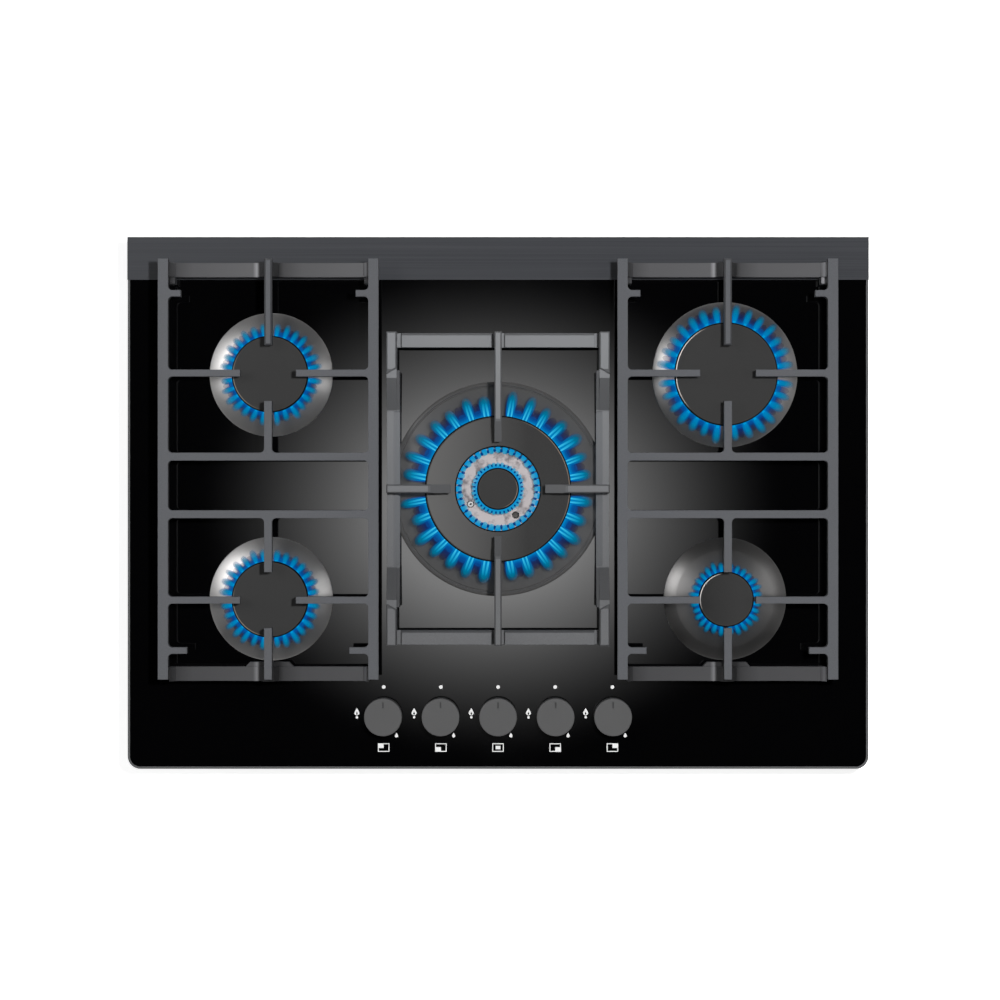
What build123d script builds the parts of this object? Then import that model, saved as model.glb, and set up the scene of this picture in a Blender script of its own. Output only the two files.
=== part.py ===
from build123d import *
import math
import os

# A built-in gas cooktop with five burners on a glass panel. Millimetres, X to the
# right, Y to the rear, Z up. The origin is under the panel's centre, on the plane of
# the casing's underside, so the glass top lies at glass_top_z.

os.makedirs("parts", exist_ok=True)

# ---------------------------------------------------------------- driving dimensions
# Panel, rear trim and the casing that hangs through the worktop
panel_width = 700.0
panel_depth = 502.4
glass_thickness = 8.0
glass_corner_radius = 12.0
glass_bevel = 2.4
trim_depth = 40.4
trim_sheet = 1.0
casing_side_inset = 73.5
casing_end_inset = 14.7
casing_sheet = 1.0
casing_corner_radius = 12.0
seal_width = 10.0
seal_thickness = 3.0
seal_gap = 1.5
clamp_hole_radius = 2.1
clamp_spacing_x = 400.0
clamp_spacing_y = 400.0

# Places of the burners, from the panel's edges, and of the knobs
burner_side_inset = 136.0
rear_burner_inset = 130.2
front_burner_inset = 160.9
centre_burner_shift = 2.05
knob_inset = 50.2
knob_pitch = 54.0

# Burner sizes: trim ring and cap diameters, and the number of flame ports
semi_rapid_ring = 116.4
semi_rapid_cap = 72.0
semi_rapid_ports = 30
rapid_ring = 137.0
rapid_cap = 97.0
rapid_ports = 36
auxiliary_ring = 115.7
auxiliary_cap = 52.0
auxiliary_ports = 24
wok_ring = 202.4
wok_cap = 137.3
wok_cap_opening = 78.8
wok_inner_cap = 39.4
wok_ports = 32
wok_inward_ports = 36
wok_inner_ports = 20

# Burner heights above the glass, and walls
cup_rim_height = 4.0
crown_base = 3.0
crown_height = 16.0
cap_thickness = 5.5
cap_edge = 1.2
port_width = 1.8
port_depth = 5.0
crown_wall = 6.5
cap_overhang = 1.5
neck_step = 1.5
cup_wall = 2.5
cup_depth = 26.0
cup_flange = 8.0
glass_hole_gap = 1.0
ring_edge_height = 1.5
ring_top_height = 3.6
ring_bore_gap = 0.4
ring_band = 14.0
auxiliary_band = 11.3
loose_fit = 0.4
seat_gap = 0.3

# Gas parts in and under the cups
boss_half = 9.0
boss_floor_z = 5.0
injector_radius = 4.0
injector_head = 3.2
injector_seat = 9.0
injector_length = 14.0
injector_bore = 1.2
injector_tip = 2.0
injector_orifice = 0.4
throat_radius = 7.0
throat_wall = 2.0
throat_drop = 20.0
skirt_wall = 2.0
skirt_drop = 2.0
cap_rim_wall = 2.2
cap_rim_drop = 3.0
wok_crown_height = 17.0
wok_hub_height = 18.5
wok_inward_wall = 5.5
wok_throat_offset = 52.0
wok_throat_radius = 6.0
wok_dish_rise = 3.0
wok_dish_floor = 1.0
wok_dish_half = 5.5
wok_lip = 2.5
wok_lip_rise = 0.6
rod_inset = 3.2
electrode_radius = 2.6
electrode_tip = 3.0
electrode_tip_radius = 0.8
rod_hole_gap = 0.8
rod_top = 12.0
rod_tail = 4.0
rod_spread = 20.0
wok_electrode_turn = 209.0
wok_thermocouple_turn = -56.0

# Bridges under the cups, at bridge_z over the casing's underside, and the cups' screws
bridge_z = 17.5
bridge_half = 13.0
bridge_sheet = 1.2
bridge_reach = 50.0
bridge_hole_gap = 0.8
wok_bridge_offset = 40.0
wok_bridge_width = 16.0
wok_screw_offset = 30.0
cup_screw_radius = 1.9
cup_screw_head_radius = 3.5
cup_screw_head = 2.0
cup_screw_offset = 14.5
cup_screw_depth = 1.8

# Gas rail, taps and tubes
rail_radius = 6.0
rail_wall = 1.0
rail_height = 9.0
rail_gap = 0.05
rail_set_forward = 20.0
tap_radius = 12.5
tap_floor = 4.0
tap_height = 30.0
tap_neck_radius = 8.0
tap_neck_top = 40.0
port_height = 9.5
port_radius = 1.8
plug_radius = 7.0
plug_gap = 0.04
plug_floor = 7.0
plug_top = 21.0
spindle_radius = 4.0
spindle_gap = 0.05
spindle_square = 5.0
socket_gap = 0.1
spindle_collar_radius = 6.0
spindle_collar = 2.0
push_travel = 3.5
saddle_half = 9.0
saddle_reach = 9.0
saddle_drop = 7.0
saddle_rise = 7.0
nipple_radius = 4.5
outlet_length = 8.0
magnet_height = 22.0
magnet_length = 5.0
socket_depth = 7.5
tube_radius = 3.0
tube_wall = 0.8
tube_bend = 9.0
tube_insertion = 6.0
tube_lead_in = 18.0
tube_step = 8.0
near_turn = 18.5
far_turn = 36.5
left_tube_lane = 38.0
right_tube_lane = 24.0
inner_tube_lane = 26.0
lead_radius = 1.25
lead_gap = 0.45
lead_bend = 4.0
lead_pass = 1.3
lead_straight = 6.0
lead_turn = 22.0
left_lead_lane = 46.0
lead_lane_pitch = 6.0
rear_lead_lane = 54.0
front_lead_lane = 30.0
front_lead_pass = 28.0
rail_end_overhang = 27.0
rail_bend = 24.0
rail_insertion = 6.0
cradle_width = 10.0
cradle_half_depth = 10.0
inlet_thread_radius = 10.48
inlet_thread_length = 15.0
inlet_hexagon = 24.0
inlet_x_inset = 20.5
notch_width = 40.0
notch_depth = 58.0
notch_height = 30.0
union_rise = 4.0
union_length = 12.0
union_bore = 5.5
gland_x = -200.0
gland_z = 22.0
gland_flange = 3.0
gland_flange_radius = 8.0
gland_neck_radius = 5.5
gland_neck_length = 10.0
cable_hole_radius = 3.6
generator_x = -110.0
generator_y = 190.0
generator_width = 60.0
generator_depth = 36.0
generator_height = 22.0
generator_bevel = 1.5
terminal_thickness = 0.8
terminal_width = 4.8
terminal_height = 7.0
terminal_pitch = 10.0

# Knobs
knob_diameter = 35.4
knob_clearance = 4.0
knob_height = 17.0
knob_wall = 2.2
knob_edge = 1.0
knob_hub_radius = 7.0
spindle_in_knob = 11.0
spindle_flat = 1.0
pointer_length = 5.6
pointer_width = 1.5
pointer_depth = 0.4
pointer_inset = 3.6
knob_hole_radius = 7.5

# Pan supports
support_height = 45.0
support_side_margin = 33.5
support_gap = 7.2
support_rear_margin = 23.6
support_front_margin = 87.0
side_bar = 9.5
side_bar_depth = 11.0
finger_width = 7.2
cross_finger_width = 6.4
cross_bar = 7.3
cross_bar_spacing = 53.6
cross_bar_shift = 1.1
finger_reach = 26.0
rail_low = 25.0
rail_sag = 2.5
rail_bottom = 15.0
rail_bank = 5.5
bank_edge = 1.0
rail_overlap = 2.0
rail_bevel = 2.2
end_rail_width = 13.4
end_rail_gap = 0.7
front_rail_overhang = 2.3
end_rail_inset = 2.8
stub_width = 6.0
rear_stub_length = 11.7
front_stub_length = 17.5
rear_stub_inset = 32.4
front_stub_inset = 27.0
leg_width = 8.2
leg_inboard = 4.4
front_foot_inset = 5.0
foot_gap = 0.3
foot_pin_radius = 2.0
side_foot_radius = 2.5
side_pin_radius = 1.4
foot_pin_length = 3.0
join_radius = 4.0
bar_bevel = 1.5
hump_length = 45.0
hump_width = 4.2
foot_height = 4.0
foot_radius = 3.9
centre_support_width = 208.0
centre_support_length = 292.6
centre_low_rail = 12.2
centre_rail_bottom = 14.0
centre_rail_top = 26.0
centre_rail_slope = 6.2
centre_rail_drop = 5.0
centre_end_rail_bottom = 20.0
centre_end_rail_top = 32.0
centre_finger_width = 6.7
centre_cross_finger = 8.0
centre_finger_reach = 44.0
centre_finger_slope = 20.0
centre_tip_drop = 6.0
centre_high_length = 36.0
centre_slope_length = 38.0
centre_mitre = 7.0
centre_mitre_depth = 4.0
centre_leg = 13.7
centre_bevel = 1.2
corner_recess = 4.4
finger_recess = 3.0
recess_depth = 5.0
finger_depth = 10.0

# ------------------------------------------------------------------- worked-out places
casing_height = bridge_z + cup_wall + cup_depth
glass_under_z = casing_height
glass_top_z = casing_height + glass_thickness
panel_half = panel_width / 2
front_y = -panel_depth / 2
rear_y = panel_depth / 2
trim_front_y = rear_y - trim_depth
casing_half_x = panel_half - casing_side_inset
casing_half_y = rear_y - casing_end_inset
burner_x = panel_half - burner_side_inset
rear_burner_y = rear_y - rear_burner_inset
front_burner_y = front_y + front_burner_inset
burner_middle_y = (rear_burner_y + front_burner_y) / 2
centre_burner_y = burner_middle_y - centre_burner_shift
knob_y = front_y + knob_inset
support_top_z = glass_top_z + support_height
cup_floor_z = -glass_thickness - cup_depth - cup_wall
notch_x = casing_half_x - notch_width
notch_y = casing_half_y - notch_depth
inlet_x = casing_half_x - inlet_x_inset
rail_y = knob_y - rail_set_forward
bridge_hole_radius = boss_half * math.sqrt(2) + bridge_hole_gap
lead_top_z = bridge_z + cup_wall - rail_gap
lead_height = port_height + tube_radius + lead_gap + lead_radius
lead_crossing_height = lead_height + 2 * lead_radius + lead_pass

# Each single-ring burner: its place, ring, cap, ports and the ring's sloping band
semi_rapid = (semi_rapid_ring, semi_rapid_cap, semi_rapid_ports, ring_band)
rapid = (rapid_ring, rapid_cap, rapid_ports, ring_band)
auxiliary = (auxiliary_ring, auxiliary_cap, auxiliary_ports, auxiliary_band)
burners = {
    "rear_left": (-burner_x, rear_burner_y, *semi_rapid),
    "front_left": (-burner_x, front_burner_y, *semi_rapid),
    "rear_right": (burner_x, rear_burner_y, *rapid),
    "front_right": (burner_x, front_burner_y, *auxiliary),
}
knob_xs = [knob_pitch * step for step in (-2, -1, 0, 1, 2)]
cradle_xs = [knob_xs[0] + knob_pitch / 2, knob_xs[4] - knob_pitch / 2, burner_x]


def neck_radius(cap):
    """The radius of the cup's neck, which passes through the glass under a cap."""
    return cap / 2 - cap_overhang - neck_step


def rod_radius(cap):
    """The distance of the electrode and the thermocouple from a burner's axis."""
    return neck_radius(cap) - cup_wall - rod_inset


def rod_places(x, y, cap):
    """The electrode's and the thermocouple's places, left of a burner's axis."""
    reach = rod_radius(cap)
    across = reach * math.cos(math.radians(rod_spread))
    along = reach * math.sin(math.radians(rod_spread))
    return (x - across, y - along), (x - across, y + along)


wok_rod_radius = (wok_inner_cap + wok_cap_opening) / 4


def wok_rod_place(turn):
    """A place on the circle midway between the centre burner's two rows of ports."""
    angle = math.radians(turn)
    return (wok_rod_radius * math.cos(angle), centre_burner_y + wok_rod_radius * math.sin(angle))


wok_electrode = wok_rod_place(wok_electrode_turn)
wok_thermocouple = wok_rod_place(wok_thermocouple_turn)


def upright(x, y):
    """A plane through a burner's axis: its X is the radius, its Y the height above the glass."""
    return Plane(origin=(x, y, glass_top_z), x_dir=(1, 0, 0), z_dir=(0, -1, 0))


def along_y(x):
    """A plane across X at the centre burner: its X is the panel's Y, its Y the height."""
    return Plane(origin=(x, centre_burner_y, glass_top_z), x_dir=(0, 1, 0), z_dir=(1, 0, 0))


def axis_at(x, y):
    """The vertical axis through a point of the panel."""
    return Axis((x, y, 0), (0, 0, 1))


def band(inner, outer, low, high):
    """Add a rectangle from two radii and two heights to the open sketch."""
    with Locations(((inner + outer) / 2, (low + high) / 2)):
        Rectangle(outer - inner, high - low)


def slab(x_from, x_to, y_from, y_to):
    """Add a rectangle from its edges to the open sketch."""
    with Locations(((x_from + x_to) / 2, (y_from + y_to) / 2)):
        Rectangle(abs(x_to - x_from), abs(y_to - y_from))


# ------------------------------------------------------------------------ glass panel
# Toughened black glass, 1 mm short at the rear where the trim folds down over its
# edge, with a hole for each burner's neck and each tap's spindle.
with BuildPart() as glass_top:
    with BuildSketch(Plane.XY.offset(glass_under_z)) as glass_outline:
        slab(-panel_half, panel_half, front_y, rear_y - trim_sheet)
        fillet(glass_outline.vertices().group_by(Axis.Y)[0], glass_corner_radius)
    extrude(amount=glass_thickness)
    ground_edges = glass_top.faces().sort_by(Axis.Z)[-1].edges().sort_by(Axis.Y)[:-1]
    chamfer(ground_edges, glass_bevel)
    with BuildSketch(Plane.XY.offset(glass_top_z)):
        for x, y, ring, cap, ports, slope in burners.values():
            with Locations((x, y)):
                Circle(neck_radius(cap) + glass_hole_gap)
        with Locations((0, centre_burner_y)):
            Circle(neck_radius(wok_cap) + glass_hole_gap)
        for x in knob_xs:
            with Locations((x, knob_y)):
                Circle(knob_hole_radius)
    extrude(amount=-glass_thickness, mode=Mode.SUBTRACT)
glass_top.part.label = "glass_top"
export_step(glass_top.part, "parts/glass_top.step")

# ------------------------------------------------------------------------- rear trim
# A folded strip of brushed sheet over the panel's rear edge.
with BuildPart() as rear_trim:
    with BuildSketch(Plane.YZ.offset(-panel_half)):
        slab(trim_front_y, rear_y, glass_top_z, glass_top_z + trim_sheet)
        slab(rear_y - trim_sheet, rear_y, glass_under_z, glass_top_z + trim_sheet)
    extrude(amount=panel_width)
rear_trim.part.label = "rear_trim"
export_step(rear_trim.part, "parts/rear_trim.step")

# ---------------------------------------------------------------------- worktop seal
# A flat foam frame under the glass, round the casing, that rests on the worktop.
seal_inner_x = casing_half_x + seal_gap
seal_inner_y = casing_half_y + seal_gap
with BuildPart() as worktop_seal:
    with BuildSketch(Plane.XY.offset(glass_under_z - seal_thickness)):
        Rectangle(2 * (seal_inner_x + seal_width), 2 * (seal_inner_y + seal_width))
        Rectangle(2 * seal_inner_x, 2 * seal_inner_y, mode=Mode.SUBTRACT)
    extrude(amount=seal_thickness)
worktop_seal.part.label = "worktop_seal"
export_step(worktop_seal.part, "parts/worktop_seal.step")

# ---------------------------------------------------------------------- casing tray
# A pressed steel tray, stepped up in its rear right corner for the gas inlet. Welded
# inside it are the bridges that carry the burner cups and the cradles of the gas rail.
with BuildPart() as casing_tray:
    with BuildSketch() as tray_outline:
        Rectangle(2 * casing_half_x, 2 * casing_half_y)
        fillet(tray_outline.vertices(), casing_corner_radius)
    extrude(amount=casing_height)
    with BuildSketch():
        slab(notch_x, panel_half, notch_y, rear_y)
    extrude(amount=notch_height, mode=Mode.SUBTRACT)
    with BuildSketch(Plane.XY.offset(notch_height + casing_sheet)) as upper_cavity:
        Rectangle(2 * (casing_half_x - casing_sheet), 2 * (casing_half_y - casing_sheet))
        fillet(upper_cavity.vertices(), casing_corner_radius - casing_sheet)
    extrude(amount=casing_height, mode=Mode.SUBTRACT)
    with BuildSketch(Plane.XY.offset(casing_sheet)) as lower_cavity:
        Rectangle(2 * (casing_half_x - casing_sheet), 2 * (casing_half_y - casing_sheet))
        fillet(lower_cavity.vertices(), casing_corner_radius - casing_sheet)
        step_x = (notch_x - casing_sheet + panel_half) / 2
        step_y = (notch_y - casing_sheet + rear_y) / 2
        with Locations((step_x, step_y)):
            Rectangle(2 * (panel_half - step_x), 2 * (rear_y - step_y), mode=Mode.SUBTRACT)
    extrude(amount=notch_height, mode=Mode.SUBTRACT)
    # bridges under the four small burners, on a leg at each end
    for x, y, ring, cap, ports, slope in burners.values():
        with BuildSketch(Plane.XY.offset(bridge_z - bridge_sheet)):
            slab(x - bridge_half, x + bridge_half, y - bridge_reach, y + bridge_reach)
            with Locations((x, y)):
                Circle(bridge_hole_radius, mode=Mode.SUBTRACT)
            with Locations((x, y - cup_screw_offset), (x, y + cup_screw_offset)):
                Circle(cup_screw_radius + seat_gap, mode=Mode.SUBTRACT)
        extrude(amount=bridge_sheet)
        with BuildSketch(Plane.XY.offset(casing_sheet)):
            slab(x - bridge_half, x + bridge_half, y - bridge_reach, y - bridge_reach + bridge_sheet)
            slab(x - bridge_half, x + bridge_half, y + bridge_reach - bridge_sheet, y + bridge_reach)
        extrude(amount=bridge_z - casing_sheet)
    # two strips under the centre burner, in front of and behind its gas gallery
    for offset in (-wok_bridge_offset, wok_bridge_offset):
        strip_y = centre_burner_y + offset
        low_y = strip_y - wok_bridge_width / 2
        high_y = strip_y + wok_bridge_width / 2
        with BuildSketch(Plane.XY.offset(bridge_z - bridge_sheet)):
            slab(-bridge_reach, bridge_reach, low_y, high_y)
            with Locations((-wok_screw_offset, strip_y), (wok_screw_offset, strip_y)):
                Circle(cup_screw_radius + seat_gap, mode=Mode.SUBTRACT)
        extrude(amount=bridge_sheet)
        with BuildSketch(Plane.XY.offset(casing_sheet)):
            slab(-bridge_reach, -bridge_reach + bridge_sheet, low_y, high_y)
            slab(bridge_reach - bridge_sheet, bridge_reach, low_y, high_y)
        extrude(amount=bridge_z - casing_sheet)
    # cradles under the gas rail
    for x in cradle_xs:
        with BuildSketch(Plane.YZ.offset(x - cradle_width / 2)):
            slab(rail_y - cradle_half_depth, rail_y + cradle_half_depth, casing_sheet, rail_height)
            with Locations((rail_y, rail_height)):
                Circle(rail_radius + rail_gap, mode=Mode.SUBTRACT)
        extrude(amount=cradle_width)
    # holes for the rail's end, the cable gland and the worktop clamps
    with BuildSketch(Plane.XZ.offset(-notch_y - casing_sheet)):
        with Locations((inlet_x, rail_height)):
            Circle(rail_radius + rail_gap)
    extrude(amount=2 * casing_sheet, mode=Mode.SUBTRACT)
    with BuildSketch(Plane.XZ.offset(-casing_half_y)):
        with Locations((gland_x, gland_z)):
            Circle(gland_neck_radius + seat_gap)
    extrude(amount=2 * casing_sheet, mode=Mode.SUBTRACT)
    with BuildSketch():
        with GridLocations(clamp_spacing_x, clamp_spacing_y, 2, 2):
            Circle(clamp_hole_radius)
    extrude(amount=casing_sheet, mode=Mode.SUBTRACT)
casing_tray.part.label = "casing_tray"
export_step(casing_tray.part, "parts/casing_tray.step")

# -------------------------------------------------------------------------- gas rail
# A steel tube along the front, through the taps' saddles, then back along the right
# side and out through the step's wall.
rail_start_x = knob_xs[0] - rail_end_overhang
with BuildPart() as gas_rail:
    with BuildLine() as rail_path:
        FilletPolyline(
            (rail_start_x, rail_y, rail_height),
            (inlet_x, rail_y, rail_height),
            (inlet_x, notch_y + rail_insertion, rail_height),
            radius=rail_bend,
        )
    with BuildSketch(Plane(origin=(rail_start_x, rail_y, rail_height), z_dir=(1, 0, 0))):
        Circle(rail_radius)
        Circle(rail_radius - rail_wall, mode=Mode.SUBTRACT)
    sweep()
    # the plugged end
    with BuildSketch(Plane(origin=(rail_start_x, rail_y, rail_height), z_dir=(1, 0, 0))):
        Circle(rail_radius)
    extrude(amount=2 * rail_wall)
gas_rail.part.label = "gas_rail"
export_step(gas_rail.part, "parts/gas_rail.step")

# ------------------------------------------------------------------------- gas inlet
# A brass union on the rail's end, in the casing's step: a hexagon and a half-inch pipe
# thread, drawn as its outside diameter, that points to the rear.
with BuildPart() as gas_inlet_union:
    with BuildSketch(Plane.XZ.offset(-notch_y)):
        with Locations((inlet_x, rail_height + union_rise)):
            RegularPolygon(inlet_hexagon / 2, 6, major_radius=False)
    extrude(amount=-union_length)
    with BuildSketch(Plane.XZ.offset(-notch_y - union_length)):
        with Locations((inlet_x, rail_height + union_rise)):
            Circle(inlet_thread_radius)
    extrude(amount=-inlet_thread_length)
    with BuildSketch(Plane.XZ.offset(-notch_y)):
        with Locations((inlet_x, rail_height)):
            Circle(rail_radius + rail_gap)
    extrude(amount=-rail_insertion - rail_gap, mode=Mode.SUBTRACT)
    with BuildSketch(Plane.XZ.offset(-notch_y)):
        with Locations((inlet_x, rail_height + union_rise)):
            Circle(union_bore)
    extrude(amount=-(union_length + inlet_thread_length), mode=Mode.SUBTRACT)
gas_inlet_union.part.label = "gas_inlet_union"
export_step(gas_inlet_union.part, "parts/gas_inlet_union.step")

# ----------------------------------------------------------------------- burner cups
# A die-cast cup under the glass for each burner: its flange bears on the glass from
# below, its neck rises through the hole, and a boss under its floor holds the injector.
for place, (x, y, ring, cap, ports, slope) in burners.items():
    neck = neck_radius(cap)
    with BuildPart() as burner_cup:
        with BuildSketch(upright(x, y)):
            band(0, neck, cup_floor_z, cup_floor_z + cup_wall)
            band(neck - cup_wall, neck, cup_floor_z, cup_rim_height)
            band(neck - cup_wall, neck + cup_flange, -glass_thickness - cup_wall, -glass_thickness)
        revolve(axis=axis_at(x, y))
        with BuildSketch(Plane.XY.offset(bridge_z)):
            with Locations((x, y)):
                Rectangle(2 * boss_half, 2 * boss_half)
        extrude(amount=boss_floor_z - bridge_z)
        with Locations((x, y, bridge_z + cup_wall)):
            Hole(radius=injector_radius + rail_gap, depth=injector_seat + rail_gap)
            Hole(radius=port_radius, depth=bridge_z + cup_wall - port_height)
        with BuildSketch(Plane.XZ.offset(boss_half - y)):
            with Locations((x, port_height)):
                Circle(port_radius)
        extrude(amount=-boss_half, mode=Mode.SUBTRACT)
        for rod_x, rod_y in rod_places(x, y, cap):
            with Locations((rod_x, rod_y, bridge_z + cup_wall)):
                Hole(radius=electrode_radius + seat_gap, depth=2 * cup_wall)
        with Locations((x, y - cup_screw_offset, bridge_z), (x, y + cup_screw_offset, bridge_z)):
            Cylinder(cup_screw_radius + rail_gap, 2 * cup_screw_depth, mode=Mode.SUBTRACT)
    burner_cup.part.label = "burner_cup_" + place
    export_step(burner_cup.part, "parts/burner_cup_" + place + ".step")

wok_neck = neck_radius(wok_cap)
with BuildPart() as wok_cup:
    with BuildSketch(upright(0, centre_burner_y)):
        band(0, wok_neck, cup_floor_z, cup_floor_z + cup_wall)
        band(wok_neck - cup_wall, wok_neck, cup_floor_z, cup_rim_height)
        band(wok_neck - cup_wall, wok_neck + cup_flange, -glass_thickness - cup_wall, -glass_thickness)
    revolve(axis=axis_at(0, centre_burner_y))
    # the gallery that feeds the inner and the two outer injectors
    with BuildSketch(Plane.XY.offset(bridge_z)):
        with Locations((0, centre_burner_y)):
            Rectangle(2 * (wok_throat_offset + boss_half), 2 * boss_half)
    extrude(amount=boss_floor_z - bridge_z)
    for offset in (-wok_throat_offset, 0, wok_throat_offset):
        with Locations((offset, centre_burner_y, bridge_z + cup_wall)):
            Hole(radius=injector_radius + rail_gap, depth=injector_seat + rail_gap)
            Hole(radius=port_radius, depth=bridge_z + cup_wall - port_height)
    with BuildSketch(Plane.YZ.offset(-wok_throat_offset)):
        with Locations((centre_burner_y, port_height)):
            Circle(port_radius)
    extrude(amount=2 * wok_throat_offset, mode=Mode.SUBTRACT)
    with BuildSketch(Plane.XZ.offset(boss_half - centre_burner_y)):
        with Locations((0, port_height)):
            Circle(port_radius)
    extrude(amount=-boss_half, mode=Mode.SUBTRACT)
    for rod_x, rod_y in (wok_electrode, wok_thermocouple):
        with Locations((rod_x, rod_y, bridge_z + cup_wall)):
            Hole(radius=electrode_radius + seat_gap, depth=2 * cup_wall)
    for offset in (-wok_bridge_offset, wok_bridge_offset):
        screw_y = centre_burner_y + offset
        with Locations((-wok_screw_offset, screw_y, bridge_z), (wok_screw_offset, screw_y, bridge_z)):
            Cylinder(cup_screw_radius + rail_gap, 2 * cup_screw_depth, mode=Mode.SUBTRACT)
wok_cup.part.label = "burner_cup_centre"
export_step(wok_cup.part, "parts/burner_cup_centre.step")

# ------------------------------------------------------------------------- injectors
# Turned brass jets, screwed into the bosses: a threaded body, a head and a fine bore.
injector_places = [(x, y) for x, y, ring, cap, ports, slope in burners.values()]
for offset in (-wok_throat_offset, 0, wok_throat_offset):
    injector_places.append((offset, centre_burner_y))
seat_z = cup_floor_z + cup_wall - injector_seat
with BuildPart() as injectors:
    for x, y in injector_places:
        with BuildSketch(upright(x, y)):
            band(injector_bore, injector_radius, seat_z, cup_floor_z + cup_wall)
            band(injector_bore, injector_head, cup_floor_z + cup_wall, seat_z + injector_length)
            tip_z = seat_z + injector_length - injector_tip
            band(injector_orifice, injector_bore, tip_z, seat_z + injector_length)
        revolve(axis=axis_at(x, y))
injectors.part.label = "injectors"
export_step(injectors.part, "parts/injectors.step")

# ------------------------------------------------------------------ burner trim rings
# Turned rings that lie on the glass round each burner's neck, with a sloping outer band.
for place, (x, y, ring, cap, ports, slope) in burners.items():
    bore = neck_radius(cap) + ring_bore_gap
    with BuildPart() as burner_ring:
        with BuildSketch(upright(x, y)):
            Polygon(
                (bore, 0),
                (ring / 2, 0),
                (ring / 2, ring_edge_height),
                (ring / 2 - slope, ring_top_height),
                (bore, ring_top_height),
                align=None,
            )
        revolve(axis=axis_at(x, y))
    burner_ring.part.label = "burner_ring_" + place
    export_step(burner_ring.part, "parts/burner_ring_" + place + ".step")

wok_bore = wok_neck + ring_bore_gap
with BuildPart() as wok_ring_part:
    with BuildSketch(upright(0, centre_burner_y)):
        Polygon(
            (wok_bore, 0),
            (wok_ring / 2, 0),
            (wok_ring / 2, ring_edge_height),
            (wok_ring / 2 - wok_lip, ring_edge_height + wok_lip_rise),
            (wok_ring / 2 - 2 * wok_lip, ring_edge_height),
            (wok_bore + wok_lip, ring_top_height),
            (wok_bore, ring_top_height),
            align=None,
        )
    revolve(axis=axis_at(0, centre_burner_y))
wok_ring_part.part.label = "burner_ring_centre"
export_step(wok_ring_part.part, "parts/burner_ring_centre.step")

# --------------------------------------------------------------------- burner crowns
# Cast flame spreaders: a base that sits on the cup's rim, a mixing throat that reaches
# down over the injector, a skirt that centres it and a wall with slots for the flames.
for place, (x, y, ring, cap, ports, slope) in burners.items():
    outer = cap / 2 - cap_overhang
    skirt = neck_radius(cap) - cup_wall - seat_gap
    base_top = cup_rim_height + crown_base
    with BuildPart() as crown:
        with BuildSketch(upright(x, y)):
            band(throat_radius, outer, cup_rim_height, base_top)
            band(throat_radius, throat_radius + throat_wall, -throat_drop, base_top)
            band(outer - crown_wall, outer, base_top, crown_height)
            band(skirt - skirt_wall, skirt, -skirt_drop, cup_rim_height)
        revolve(axis=axis_at(x, y))
        with Locations((x, y, glass_top_z + crown_height - port_depth / 2)):
            with PolarLocations(outer - crown_wall / 2, ports):
                Box(2 * crown_wall, port_width, port_depth, mode=Mode.SUBTRACT)
        for rod_x, rod_y in rod_places(x, y, cap):
            rod_turn = math.degrees(math.atan2(rod_y - y, rod_x - x))
            with Locations((rod_x, rod_y, glass_top_z + base_top)):
                Hole(radius=electrode_radius + rod_hole_gap, depth=2 * base_top)
            with Locations(Location((x, y, glass_top_z + base_top), (0, 0, rod_turn))):
                with Locations((rod_radius(cap), 0)):
                    Box(
                        cap,
                        2 * (electrode_radius + rod_hole_gap),
                        crown_height,
                        align=(Align.MIN, Align.CENTER, Align.MIN),
                        mode=Mode.SUBTRACT,
                    )
    crown.part.label = "burner_crown_" + place
    export_step(crown.part, "parts/burner_crown_" + place + ".step")

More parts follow.
